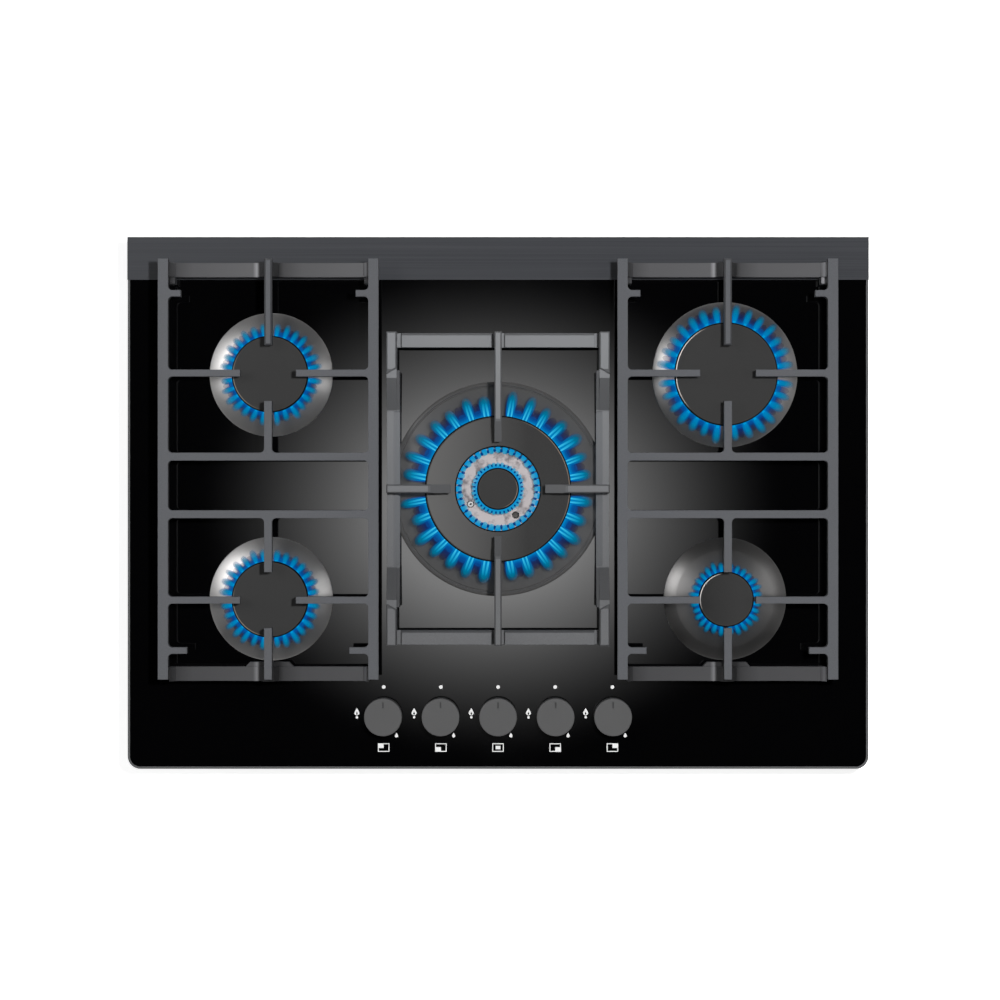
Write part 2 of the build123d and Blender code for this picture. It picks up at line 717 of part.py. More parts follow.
wok_outer = wok_cap / 2 - cap_overhang
wok_inward = wok_cap_opening / 2 + cap_overhang
wok_hub = wok_inner_cap / 2 - cap_overhang
wok_base_top = cup_rim_height + crown_base
with BuildPart() as wok_crown:
    with BuildSketch(upright(0, centre_burner_y)):
        band(throat_radius, wok_outer, cup_rim_height, wok_base_top)
        band(throat_radius, throat_radius + throat_wall, -throat_drop, wok_base_top)
        band(wok_outer - crown_wall, wok_outer, wok_base_top, wok_crown_height)
        band(wok_inward, wok_inward + wok_inward_wall, wok_base_top, wok_crown_height)
        band(wok_hub - crown_wall, wok_hub, wok_base_top, wok_hub_height)
        wok_skirt = wok_neck - cup_wall - seat_gap
        band(wok_skirt - skirt_wall, wok_skirt, -skirt_drop, cup_rim_height)
        # the dished, polished floor between the hub and the outer chamber
        Polygon(
            (wok_hub, wok_base_top),
            (wok_hub, wok_base_top + wok_dish_rise),
            (wok_rod_radius - wok_dish_half, wok_base_top + wok_dish_floor),
            (wok_rod_radius + wok_dish_half, wok_base_top + wok_dish_floor),
            (wok_inward, wok_base_top + wok_dish_rise),
            (wok_inward, wok_base_top),
            align=None,
        )
    revolve(axis=axis_at(0, centre_burner_y))
    # the outer chamber's two mixing throats
    throat_places = [(-wok_throat_offset, centre_burner_y), (wok_throat_offset, centre_burner_y)]
    with BuildSketch(Plane.XY.offset(glass_top_z + wok_base_top)):
        with Locations(*throat_places):
            Circle(wok_throat_radius + throat_wall)
    extrude(amount=-wok_base_top - throat_drop)
    with BuildSketch(Plane.XY.offset(glass_top_z + wok_base_top)):
        with Locations(*throat_places):
            Circle(wok_throat_radius)
    extrude(amount=-wok_base_top - throat_drop, mode=Mode.SUBTRACT)
    with Locations((0, centre_burner_y, glass_top_z + wok_crown_height - port_depth / 2)):
        with PolarLocations(wok_outer - crown_wall / 2, wok_ports, start_angle=180 / wok_ports):
            Box(2 * crown_wall, port_width, port_depth, mode=Mode.SUBTRACT)
        with PolarLocations(wok_inward + wok_inward_wall / 2, wok_inward_ports):
            Box(2 * wok_inward_wall, port_width, port_depth, mode=Mode.SUBTRACT)
    with Locations((0, centre_burner_y, glass_top_z + wok_hub_height - port_depth / 2)):
        with PolarLocations(wok_hub - crown_wall / 2, wok_inner_ports):
            Box(2 * crown_wall, port_width, port_depth, mode=Mode.SUBTRACT)
    for rod_x, rod_y in (wok_electrode, wok_thermocouple):
        with Locations((rod_x, rod_y, glass_top_z + wok_crown_height)):
            Hole(radius=electrode_radius + rod_hole_gap, depth=wok_crown_height)
wok_crown.part.label = "burner_crown_centre"
export_step(wok_crown.part, "parts/burner_crown_centre.step")

# ------------------------------------------------------------------------ burner caps
# Enamelled steel lids that close the slots from above, with a rim that centres them.
for place, (x, y, ring, cap, ports, slope) in burners.items():
    rim = cap / 2 - cap_overhang - crown_wall - loose_fit
    with BuildPart() as burner_cap:
        with BuildSketch(upright(x, y)):
            band(0, cap / 2, crown_height, crown_height + cap_thickness)
            band(rim - cap_rim_wall, rim, crown_height - cap_rim_drop, crown_height)
        revolve(axis=axis_at(x, y))
        top_edges = burner_cap.edges().filter_by(GeomType.CIRCLE).group_by(Axis.Z)[-1]
        fillet(top_edges, cap_edge)
    burner_cap.part.label = "burner_cap_" + place
    export_step(burner_cap.part, "parts/burner_cap_" + place + ".step")

with BuildPart() as wok_ring_cap:
    with BuildSketch(upright(0, centre_burner_y)):
        band(wok_cap_opening / 2, wok_cap / 2, wok_crown_height, wok_crown_height + cap_thickness)
        rim = wok_outer - crown_wall - loose_fit
        band(rim - cap_rim_wall, rim, wok_crown_height - cap_rim_drop, wok_crown_height)
    revolve(axis=axis_at(0, centre_burner_y))
    top_edges = wok_ring_cap.edges().filter_by(GeomType.CIRCLE).group_by(Axis.Z)[-1]
    fillet(top_edges, cap_edge)
wok_ring_cap.part.label = "burner_cap_centre_outer"
export_step(wok_ring_cap.part, "parts/burner_cap_centre_outer.step")

with BuildPart() as wok_inner_lid:
    with BuildSketch(upright(0, centre_burner_y)):
        band(0, wok_inner_cap / 2, wok_hub_height, wok_hub_height + cap_thickness)
        rim = wok_hub - crown_wall - loose_fit
        band(rim - cap_rim_wall, rim, wok_hub_height - cap_rim_drop, wok_hub_height)
    revolve(axis=axis_at(0, centre_burner_y))
    top_edges = wok_inner_lid.edges().filter_by(GeomType.CIRCLE).group_by(Axis.Z)[-1]
    fillet(top_edges, cap_edge)
wok_inner_lid.part.label = "burner_cap_centre_inner"
export_step(wok_inner_lid.part, "parts/burner_cap_centre_inner.step")

# ---------------------------------------------------------- electrodes and thermocouples
# Ceramic spark electrodes with a steel tip, and steel flame sensors. Each stands in its
# cup's floor and passes freely through the crown's base.
electrode_places = [rod_places(x, y, cap)[0] for x, y, ring, cap, ports, slope in burners.values()]
electrode_places.append(wok_electrode)
with BuildPart() as spark_electrodes:
    for x, y in electrode_places:
        with BuildSketch(upright(x, y)):
            band(0, electrode_radius, cup_floor_z - rod_tail, rod_top - electrode_tip)
            band(0, electrode_tip_radius, cup_floor_z - rod_tail, rod_top)
            band(0, electrode_tip_radius, cup_floor_z - 2 * rod_tail, rod_top)
        revolve(axis=axis_at(x, y))
spark_electrodes.part.label = "spark_electrodes"
export_step(spark_electrodes.part, "parts/spark_electrodes.step")

thermocouple_places = [rod_places(x, y, cap)[1] for x, y, ring, cap, ports, slope in burners.values()]
thermocouple_places.append(wok_thermocouple)
# The lead of each sensor runs from its tap to below its cup, and then up into the rod.
lead_start_y = knob_y + tap_radius + magnet_length
lead_straight_y = lead_start_y + lead_straight
lead_turn_y = lead_start_y + lead_turn
outer_lane = -burner_x - left_lead_lane
second_lane = outer_lane + lead_lane_pitch
rear_lane = burner_x - rear_lead_lane
front_lane = burner_x - front_lead_lane
pass_y = front_burner_y - front_lead_pass
sensor = dict(zip(burners, thermocouple_places))
sensor["centre"] = wok_thermocouple
lead_routes = (
    (
        (knob_xs[0], lead_start_y, magnet_height),
        (knob_xs[0], lead_straight_y, magnet_height),
        (knob_xs[0], lead_turn_y, lead_height),
        (outer_lane, lead_turn_y, lead_height),
        (outer_lane, sensor["rear_left"][1], lead_height),
        (*sensor["rear_left"], lead_height),
        (*sensor["rear_left"], lead_top_z),
    ),
    (
        (knob_xs[1], lead_start_y, magnet_height),
        (knob_xs[1], lead_straight_y, magnet_height),
        (knob_xs[1], pass_y, lead_height),
        (second_lane, pass_y, lead_height),
        (second_lane, sensor["front_left"][1], lead_height),
        (*sensor["front_left"], lead_height),
        (*sensor["front_left"], lead_top_z),
    ),
    (
        (knob_xs[2], lead_start_y, magnet_height),
        (knob_xs[2], lead_straight_y, magnet_height),
        (knob_xs[2], lead_turn_y, lead_height),
        (sensor["centre"][0], sensor["centre"][1] - 2 * lead_turn, lead_height),
        (*sensor["centre"], lead_height),
        (*sensor["centre"], lead_top_z),
    ),
    (
        (knob_xs[3], lead_start_y, magnet_height),
        (knob_xs[3], lead_straight_y, magnet_height),
        (knob_xs[3], lead_turn_y, lead_height),
        (front_lane, pass_y, lead_height),
        (front_lane, sensor["front_right"][1], lead_height),
        (*sensor["front_right"], lead_height),
        (*sensor["front_right"], lead_top_z),
    ),
    (
        (knob_xs[4], lead_start_y, magnet_height),
        (knob_xs[4], lead_straight_y, magnet_height),
        (knob_xs[4], lead_turn_y, lead_crossing_height),
        (rear_lane, front_burner_y, lead_crossing_height),
        (rear_lane, centre_burner_y, lead_height),
        (rear_lane, sensor["rear_right"][1], lead_height),
        (*sensor["rear_right"], lead_height),
        (*sensor["rear_right"], lead_top_z),
    ),
)
with BuildPart() as thermocouples:
    for route in lead_routes:
        with BuildLine():
            FilletPolyline(*route, radius=lead_bend)
        with BuildSketch(Plane(origin=route[0], z_dir=(0, 1, 0))):
            Circle(lead_radius)
        sweep()
    for x, y in thermocouple_places:
        with BuildSketch(upright(x, y)):
            band(0, electrode_radius, cup_floor_z, rod_top)
        revolve(axis=axis_at(x, y))
thermocouples.part.label = "thermocouples"
export_step(thermocouples.part, "parts/thermocouples.step")

# ---------------------------------------------------------------------- supply tubes
# Aluminium tubes from the taps' outlets to the cups' bosses. The rear burners' tubes
# run outside the front burners'.
tube_start_y = knob_y + tap_radius + outlet_length - tube_insertion
boss_front = {name: spec[1] - boss_half for name, spec in burners.items()}
left_lane = -burner_x - left_tube_lane
right_lane = burner_x + right_tube_lane
inner_lane = burner_x - inner_tube_lane
near_turn_y = tube_start_y + near_turn
far_turn_y = tube_start_y + far_turn
tube_routes = (
    (
        (knob_xs[0], tube_start_y, port_height),
        (knob_xs[0], near_turn_y, port_height),
        (left_lane, near_turn_y, port_height),
        (left_lane, boss_front["rear_left"] - 2 * tube_lead_in, port_height),
        (-burner_x, boss_front["rear_left"] - tube_lead_in, port_height),
        (-burner_x, boss_front["rear_left"], port_height),
    ),
    (
        (knob_xs[1], tube_start_y, port_height),
        (knob_xs[1], far_turn_y, port_height),
        (-inner_lane, far_turn_y, port_height),
        (-inner_lane, boss_front["front_left"] - tube_lead_in - tube_step, port_height),
        (-burner_x, boss_front["front_left"] - tube_lead_in, port_height),
        (-burner_x, boss_front["front_left"], port_height),
    ),
    (
        (knob_xs[2], tube_start_y, port_height),
        (knob_xs[2], centre_burner_y - boss_half, port_height),
    ),
    (
        (knob_xs[3], tube_start_y, port_height),
        (knob_xs[3], far_turn_y, port_height),
        (inner_lane, far_turn_y, port_height),
        (inner_lane, boss_front["front_right"] - tube_lead_in - tube_step, port_height),
        (burner_x, boss_front["front_right"] - tube_lead_in, port_height),
        (burner_x, boss_front["front_right"], port_height),
    ),
    (
        (knob_xs[4], tube_start_y, port_height),
        (knob_xs[4], near_turn_y, port_height),
        (right_lane, near_turn_y, port_height),
        (right_lane, boss_front["rear_right"] - 2 * tube_lead_in, port_height),
        (burner_x, boss_front["rear_right"] - tube_lead_in, port_height),
        (burner_x, boss_front["rear_right"], port_height),
    ),
)
with BuildPart() as supply_tubes:
    for route in tube_routes:
        with BuildLine():
            if len(route) > 2:
                FilletPolyline(*route, radius=tube_bend)
            else:
                Line(*route)
        with BuildSketch(Plane(origin=route[0], z_dir=(0, 1, 0))):
            Circle(tube_radius)
            Circle(tube_radius - tube_wall, mode=Mode.SUBTRACT)
        sweep()
supply_tubes.part.label = "supply_tubes"
export_step(supply_tubes.part, "parts/supply_tubes.step")

# ------------------------------------------------------------------- taps and knobs
# Each tap has a cast body on the gas rail, a plug that turns in it, and a spindle that
# turns with the plug, slides in its square socket and carries the knob above the glass.
knob_under_z = glass_top_z + knob_clearance
knob_top_z = knob_under_z + knob_height
collar_top_z = tap_height - socket_gap
socket_floor = plug_top - socket_depth
spindle_foot = socket_floor + push_travel + seat_gap
spindle_top_z = knob_under_z + spindle_in_knob
for number, x in enumerate(knob_xs, 1):
    with BuildPart() as tap_body:
        with BuildSketch(Plane.XY.offset(tap_floor)):
            with Locations((x, knob_y)):
                Circle(tap_radius)
        extrude(amount=tap_height - tap_floor)
        with BuildSketch(Plane.XY.offset(tap_height)):
            with Locations((x, knob_y)):
                Circle(tap_neck_radius)
        extrude(amount=tap_neck_top - tap_height)
        with BuildSketch(Plane.YZ.offset(x - saddle_half)):
            slab(rail_y - saddle_reach, knob_y, rail_height - saddle_drop, rail_height + saddle_rise)
        extrude(amount=2 * saddle_half)
        with BuildSketch(Plane.XZ.offset(-knob_y)):
            with Locations((x, port_height), (x, magnet_height)):
                Circle(nipple_radius)
        extrude(amount=-tap_radius - magnet_length)
        with BuildSketch(Plane.XZ.offset(-knob_y)):
            with Locations((x, port_height)):
                Circle(nipple_radius)
        extrude(amount=-tap_radius - outlet_length)
        # the rail's seat, the plug's chamber and the spindle's guide
        with BuildSketch(Plane.YZ.offset(x - saddle_half)):
            with Locations((rail_y, rail_height)):
                Circle(rail_radius + rail_gap)
        extrude(amount=2 * saddle_half, mode=Mode.SUBTRACT)
        with Locations((x, knob_y, tap_height)):
            Hole(radius=plug_radius, depth=tap_height - plug_floor)
        with Locations((x, knob_y, tap_neck_top)):
            Hole(radius=spindle_radius + spindle_gap, depth=tap_neck_top - tap_height)
        # gas ways: rail to plug, and plug to the tube's socket
        with BuildSketch(Plane.XZ.offset(-rail_y)):
            with Locations((x, port_height)):
                Circle(port_radius)
        extrude(amount=rail_y - knob_y, mode=Mode.SUBTRACT)
        with BuildSketch(Plane.XZ.offset(-knob_y)):
            with Locations((x, port_height)):
                Circle(port_radius)
        extrude(amount=-tap_radius - outlet_length, mode=Mode.SUBTRACT)
        with BuildSketch(Plane.XZ.offset(-tube_start_y)):
            with Locations((x, port_height)):
                Circle(tube_radius + rail_gap)
        extrude(amount=-tube_insertion, mode=Mode.SUBTRACT)
    tap_body.part.label = f"tap_body_{number}"
    export_step(tap_body.part, f"parts/tap_body_{number}.step")

    with BuildPart() as tap_plug:
        with BuildSketch(Plane.XY.offset(plug_floor + socket_gap)):
            with Locations((x, knob_y)):
                Circle(plug_radius - plug_gap)
        extrude(amount=plug_top - plug_floor - socket_gap)
        with BuildSketch(Plane.XY.offset(plug_top)):
            with Locations((x, knob_y)):
                Rectangle(spindle_square + 2 * socket_gap, spindle_square + 2 * socket_gap)
        extrude(amount=-socket_depth, mode=Mode.SUBTRACT)
        with BuildSketch(Plane.XZ.offset(-knob_y)):
            with Locations((x, port_height)):
                Circle(port_radius)
        extrude(amount=plug_radius, both=True, mode=Mode.SUBTRACT)
    tap_plug.part.label = f"tap_plug_{number}"
    export_step(tap_plug.part, f"parts/tap_plug_{number}.step")

    with BuildPart() as spindle:
        with BuildSketch(Plane.XY.offset(spindle_foot)):
            with Locations((x, knob_y)):
                Rectangle(spindle_square, spindle_square)
        extrude(amount=collar_top_z - spindle_foot)
        with BuildSketch(Plane.XY.offset(collar_top_z)):
            with Locations((x, knob_y)):
                Circle(spindle_collar_radius)
        extrude(amount=-spindle_collar)
        with BuildSketch(Plane.XY.offset(collar_top_z)):
            with Locations((x, knob_y)):
                Circle(spindle_radius)
        extrude(amount=spindle_top_z - collar_top_z)
        with BuildSketch(Plane.XY.offset(spindle_top_z)):
            slab(
                x - spindle_radius,
                x + spindle_radius,
                knob_y - spindle_radius,
                knob_y - spindle_radius + spindle_flat,
            )
        extrude(amount=-spindle_in_knob, mode=Mode.SUBTRACT)
    spindle.part.label = f"spindle_{number}"
    export_step(spindle.part, f"parts/spindle_{number}.step")

    with BuildPart() as knob:
        with BuildSketch(Plane.XY.offset(knob_under_z)):
            with Locations((x, knob_y)):
                Circle(knob_diameter / 2)
        extrude(amount=knob_height)
        fillet(knob.edges().filter_by(GeomType.CIRCLE).group_by(Axis.Z)[-1], knob_edge)
        with BuildSketch(Plane.XY.offset(knob_under_z)):
            with Locations((x, knob_y)):
                Circle(knob_diameter / 2 - knob_wall)
                Circle(knob_hub_radius, mode=Mode.SUBTRACT)
        extrude(amount=knob_height - knob_wall, mode=Mode.SUBTRACT)
        # the D-shaped bore for the spindle, and the pointer's groove near the rear edge
        with BuildSketch(Plane.XY.offset(knob_under_z)):
            with Locations((x, knob_y)):
                Circle(spindle_radius + spindle_gap)
            with Locations((x, knob_y - spindle_radius + spindle_flat - spindle_gap)):
                Rectangle(
                    4 * spindle_radius,
                    2 * spindle_radius,
                    align=(Align.CENTER, Align.MAX),
                    mode=Mode.SUBTRACT,
                )
        extrude(amount=spindle_in_knob + socket_gap, mode=Mode.SUBTRACT)
        with BuildSketch(Plane.XY.offset(knob_top_z)):
            with Locations((x, knob_y + knob_diameter / 2 - pointer_inset - pointer_length / 2)):
                Rectangle(pointer_width, pointer_length)
        extrude(amount=-pointer_depth, mode=Mode.SUBTRACT)
    knob.part.label = f"knob_{number}"
    export_step(knob.part, f"parts/knob_{number}.step")

# ------------------------------------------------------------------ side pan supports
# Cast-iron grids over the left and the right pair of burners: two long bars, two cross
# bars and eight fingers at one level, and a dished rail across each end, on four legs.
support_inner = centre_support_width / 2 + support_gap
support_outer = panel_half - support_side_margin
support_rear_y = rear_y - support_rear_margin
support_front_y = front_y + support_front_margin
cross_bar_ys = [
    burner_middle_y + cross_bar_shift + cross_bar_spacing / 2,
    burner_middle_y + cross_bar_shift - cross_bar_spacing / 2,
]
rail_crest = support_height - side_bar_depth + rail_overlap
rear_foot_y = trim_front_y - foot_gap - side_foot_radius
front_foot_y = support_front_y + front_foot_inset
bay_inner = support_inner + side_bar
bay_outer = support_outer - side_bar
rear_rail = (support_rear_y - end_rail_inset - end_rail_width, support_rear_y - end_rail_inset)
front_rail = (support_front_y - front_rail_overhang, support_front_y + end_rail_width - front_rail_overhang)

for place, side in (("left", -1), ("right", 1)):
    finger_x = side * burner_x
    with BuildPart() as pan_support:
        with BuildSketch(Plane.XY.offset(support_top_z - side_bar_depth)):
            slab(side * support_outer, side * bay_outer, support_front_y, support_rear_y)
            slab(side * support_inner, side * bay_inner, support_front_y, support_rear_y)
            for bar_y in cross_bar_ys:
                low_y = bar_y - cross_bar / 2
                high_y = bar_y + cross_bar / 2
                slab(side * support_inner, side * support_outer, low_y, high_y)
            finger_spans = (
                (rear_burner_y + finger_reach, support_rear_y),
                (cross_bar_ys[0], rear_burner_y - finger_reach),
                (front_burner_y + finger_reach, cross_bar_ys[1]),
                (support_front_y, front_burner_y - finger_reach),
            )
            for low_y, high_y in finger_spans:
                slab(finger_x - finger_width / 2, finger_x + finger_width / 2, low_y, high_y)
            for y in (rear_burner_y, front_burner_y):
                low_y = y - cross_finger_width / 2
                high_y = y + cross_finger_width / 2
                slab(side * support_inner, side * (burner_x - finger_reach), low_y, high_y)
                slab(side * (burner_x + finger_reach), side * support_outer, low_y, high_y)
            stubs = (
                (support_rear_y - rear_stub_inset, rear_stub_length),
                (support_front_y + front_stub_inset, front_stub_length),
            )
            for y, length in stubs:
                low_y = y - stub_width / 2
                high_y = y + stub_width / 2
                slab(side * support_inner, side * (bay_inner + length), low_y, high_y)
                slab(side * (bay_outer - length), side * support_outer, low_y, high_y)
        extrude(amount=side_bar_depth)
        joins = pan_support.edges().filter_by(Axis.Z).filter_by(lambda edge: edge.is_interior)
        fillet(joins, join_radius)
        chamfer(pan_support.faces().sort_by(Axis.Z)[-1].edges(), bar_bevel)
        # the end rails: each bay's top dips between two banks
        bays = (
            (min(side * bay_inner, side * bay_outer), finger_x - finger_width / 2),
            (finger_x + finger_width / 2, max(side * bay_inner, side * bay_outer)),
        )
        for low_y, high_y in (rear_rail, front_rail):
            with BuildSketch(upright(0, high_y)):
                slab(side * bay_inner, side * bay_outer, rail_bottom, rail_crest)
                for left_x, right_x in bays:
                    left_rim = (left_x + bank_edge, rail_crest)
                    left_foot = (left_x + rail_bank, rail_low + rail_sag)
                    right_foot = (right_x - rail_bank, rail_low + rail_sag)
                    right_rim = (right_x - bank_edge, rail_crest)
                    with BuildLine():
                        Line(left_rim, left_foot)
                        ThreePointArc(left_foot, ((left_x + right_x) / 2, rail_low), right_foot)
                        Line(right_foot, right_rim)
                        Line(right_rim, left_rim)
                    make_face(mode=Mode.SUBTRACT)
            extrude(amount=high_y - low_y)
        # the hump behind the front finger
        with BuildSketch(Plane.XY.offset(glass_top_z + rail_bottom)):
            Polygon(
                (finger_x - hump_length / 2, front_rail[1]),
                (finger_x + hump_length / 2, front_rail[1]),
                (finger_x + hump_length / 2 - hump_width, front_rail[1] + hump_width),
                (finger_x - hump_length / 2 + hump_width, front_rail[1] + hump_width),
                align=None,
            )
        extrude(amount=rail_low - rail_bottom)
        # legs half under the long bars, with a socket for each rubber foot
        legs = (
            (bay_inner + leg_inboard - leg_width, bay_inner, bay_inner + leg_inboard),
            (bay_outer - leg_inboard + leg_width, bay_outer, bay_outer - leg_inboard),
        )
        leg_spans = (
            (rear_foot_y - side_foot_radius, rear_rail[0] + rail_overlap),
            (front_foot_y - side_foot_radius, front_foot_y + side_foot_radius),
        )
        for bar_x, bay_x, leg_x in legs:
            for low_y, high_y in leg_spans:
                with BuildSketch(Plane.XY.offset(glass_top_z + foot_height)):
                    slab(side * bar_x, side * leg_x, low_y, high_y)
                extrude(amount=rail_low - foot_height)
                with BuildSketch(Plane.XY.offset(glass_top_z + foot_height)):
                    slab(side * bar_x, side * bay_x, low_y, high_y)
                extrude(amount=support_height - side_bar_depth - foot_height)
        foot_places = []
        for bar_x, bay_x, leg_x in legs:
            for foot_y in (rear_foot_y, front_foot_y):
                foot_places.append((side * (bar_x + leg_x) / 2, foot_y))
        with BuildSketch(Plane.XY.offset(glass_top_z + foot_height)):
            with Locations(*foot_places):
                Circle(side_pin_radius + rail_gap)
        extrude(amount=foot_pin_length + socket_gap, mode=Mode.SUBTRACT)
    pan_support.part.label = "pan_support_" + place
    export_step(pan_support.part, "parts/pan_support_" + place + ".step")

    with BuildPart() as support_feet:
        with BuildSketch(Plane.XY.offset(glass_top_z)):
            with Locations(*foot_places):
                Circle(side_foot_radius)
        extrude(amount=foot_height)
        with BuildSketch(Plane.XY.offset(glass_top_z + foot_height)):
            with Locations(*foot_places):
                Circle(side_pin_radius)
        extrude(amount=foot_pin_length)
    support_feet.part.label = "support_feet_" + place
    export_step(support_feet.part, "parts/support_feet_" + place + ".step")

# ----------------------------------------------------------------- centre pan support
# A cast-iron frame round the centre burner: side plates that stand high at the corners
# and drop between them, an end rail front and rear, and four fingers with sloping tips.
centre_half = centre_support_width / 2
centre_end = centre_support_length / 2
drop_start = centre_end - centre_high_length
drop_end = drop_start - centre_slope_length
finger_under = support_height - finger_depth
tip_start = centre_finger_reach + centre_finger_slope
with BuildPart() as centre_support:
    for side in (-1, 1):
        outer_x = side * centre_half
        plate_x = side * (centre_half - side_bar)
        low_x = side * (centre_half - centre_low_rail)
        # the side plate with its two legs
        with BuildSketch(along_y(min(outer_x, plate_x))):
            Polygon(
                (-centre_end, foot_height),
                (-centre_end + centre_leg, foot_height),
                (-centre_end + centre_leg, centre_rail_bottom),
                (centre_end - centre_leg, centre_rail_bottom),
                (centre_end - centre_leg, foot_height),
                (centre_end, foot_height),
                (centre_end, support_height),
                (drop_start, support_height),
                (drop_end, centre_rail_top),
                (-drop_end, centre_rail_top),
                (-drop_start, support_height),
                (-centre_end, support_height),
                align=None,
            )
        extrude(amount=side_bar)
        # the thicker low stretch
        with BuildSketch(along_y(min(low_x, plate_x))):
            Polygon(
                (-drop_start, centre_rail_bottom),
                (drop_start, centre_rail_bottom),
                (drop_start, support_height - centre_mitre_depth),
                (drop_end, centre_rail_top),
                (-drop_end, centre_rail_top),
                (-drop_start, support_height - centre_mitre_depth),
                align=None,
            )
        extrude(amount=centre_low_rail - side_bar)
        # the low stretch's top falls away inwards
        with BuildSketch(upright(0, centre_burner_y + drop_end)):
            Polygon(
                (low_x, centre_rail_top),
                (low_x, centre_rail_top - centre_rail_drop),
                (low_x + side * centre_rail_slope, centre_rail_top),
                align=None,
            )
        extrude(amount=2 * drop_end, mode=Mode.SUBTRACT)
        # the high stretches end on a slant
        for end in (-1, 1):
            with BuildSketch(Plane.XY.offset(support_top_z)):
                Polygon(
                    (low_x, centre_burner_y + end * (drop_start - centre_mitre)),
                    (low_x, centre_burner_y + end * (drop_start + centre_mitre / 2)),
                    (outer_x, centre_burner_y + end * (drop_start - centre_mitre / 2)),
                    (outer_x, centre_burner_y + end * (drop_start - centre_mitre)),
                    align=None,
                )
            extrude(amount=-centre_mitre_depth, mode=Mode.SUBTRACT)
        # the side finger and its foot on the low rail
        with BuildSketch(upright(0, centre_burner_y + centre_cross_finger / 2)):
            Polygon(
                (outer_x, centre_rail_bottom),
                (low_x, centre_rail_bottom),
                (low_x, finger_under),
                (side * centre_finger_reach, finger_under),
                (side * centre_finger_reach, support_height - centre_tip_drop),
                (side * tip_start, support_height),
                (outer_x, support_height),
                align=None,
            )
        extrude(amount=centre_cross_finger)
    for end in (-1, 1):
        # the end rail, bevelled along its rear edge, and recessed beside its neighbours
        rail_far = centre_end - end_rail_gap
        rail_near = rail_far - end_rail_width
        rail_ys = sorted((end * rail_near, end * rail_far))
        with BuildSketch(along_y(-centre_half + side_bar / 2)):
            Polygon(
                (rail_ys[0], centre_end_rail_bottom),
                (rail_ys[1], centre_end_rail_bottom),
                (rail_ys[1], centre_end_rail_top - rail_bevel),
                (rail_ys[1] - rail_bevel, centre_end_rail_top),
                (rail_ys[0], centre_end_rail_top),
                align=None,
            )
        extrude(amount=2 * centre_half - side_bar)
        with BuildSketch(Plane.XY.offset(glass_top_z + centre_end_rail_top)):
            low_y = centre_burner_y + rail_ys[0]
            high_y = centre_burner_y + rail_ys[1]
            for side in (-1, 1):
                plate_x = side * (centre_half - side_bar)
                slab(plate_x, plate_x - side * corner_recess, low_y, high_y)
                slab(0, side * (centre_finger_width / 2 + finger_recess), low_y, high_y)
        extrude(amount=-recess_depth, mode=Mode.SUBTRACT)
        # the end finger, on a foot that crosses the rail
        with BuildSketch(along_y(-centre_finger_width / 2)):
            Polygon(
                (end * centre_end, centre_end_rail_bottom),
                (end * (rail_near - end_rail_gap), centre_end_rail_bottom),
                (end * (rail_near - end_rail_gap), finger_under),
                (end * centre_finger_reach, finger_under),
                (end * centre_finger_reach, support_height - centre_tip_drop),
                (end * tip_start, support_height),
                (end * centre_end, support_height),
                align=None,
            )
        extrude(amount=centre_finger_width)
    high_faces = centre_support.faces().filter_by(Plane.XY).group_by(Axis.Z)[-1]
    chamfer(high_faces.edges(), centre_bevel)
    centre_foot_x = centre_half - side_bar / 2
    centre_foot_y = centre_end - centre_leg / 2
    with BuildSketch(Plane.XY.offset(glass_top_z + foot_height)):
        with Locations((0, centre_burner_y)):
            with GridLocations(2 * centre_foot_x, 2 * centre_foot_y, 2, 2):
                Circle(foot_pin_radius + rail_gap)
    extrude(amount=foot_pin_length + socket_gap, mode=Mode.SUBTRACT)
centre_support.part.label = "pan_support_centre"
export_step(centre_support.part, "parts/pan_support_centre.step")

with BuildPart() as centre_feet:
    with BuildSketch(Plane.XY.offset(glass_top_z)):
        with Locations((0, centre_burner_y)):
            with GridLocations(2 * centre_foot_x, 2 * centre_foot_y, 2, 2):
                Circle(foot_radius)
    extrude(amount=foot_height)
    with BuildSketch(Plane.XY.offset(glass_top_z + foot_height)):
        with Locations((0, centre_burner_y)):
            with GridLocations(2 * centre_foot_x, 2 * centre_foot_y, 2, 2):
                Circle(foot_pin_radius)
    extrude(amount=foot_pin_length)
centre_feet.part.label = "support_feet_centre"
export_step(centre_feet.part, "parts/support_feet_centre.step")

# ------------------------------------------------------------ electrical parts, screws
# The spark generator: a moulded box on the tray's floor with one terminal per burner.
with BuildPart() as spark_generator:
    with BuildSketch(Plane.XY.offset(casing_sheet)):
        with Locations((generator_x, generator_y)):
            Rectangle(generator_width, generator_depth)
    extrude(amount=generator_height)
    chamfer(spark_generator.faces().sort_by(Axis.Z)[-1].edges(), generator_bevel)
    with BuildSketch(Plane.XY.offset(casing_sheet + generator_height)):
        with Locations((generator_x, generator_y)):
            with GridLocations(terminal_pitch, terminal_pitch, len(knob_xs), 1):
                Rectangle(terminal_thickness, terminal_width)
    extrude(amount=terminal_height)
spark_generator.part.label = "spark_generator"
export_step(spark_generator.part, "parts/spark_generator.step")

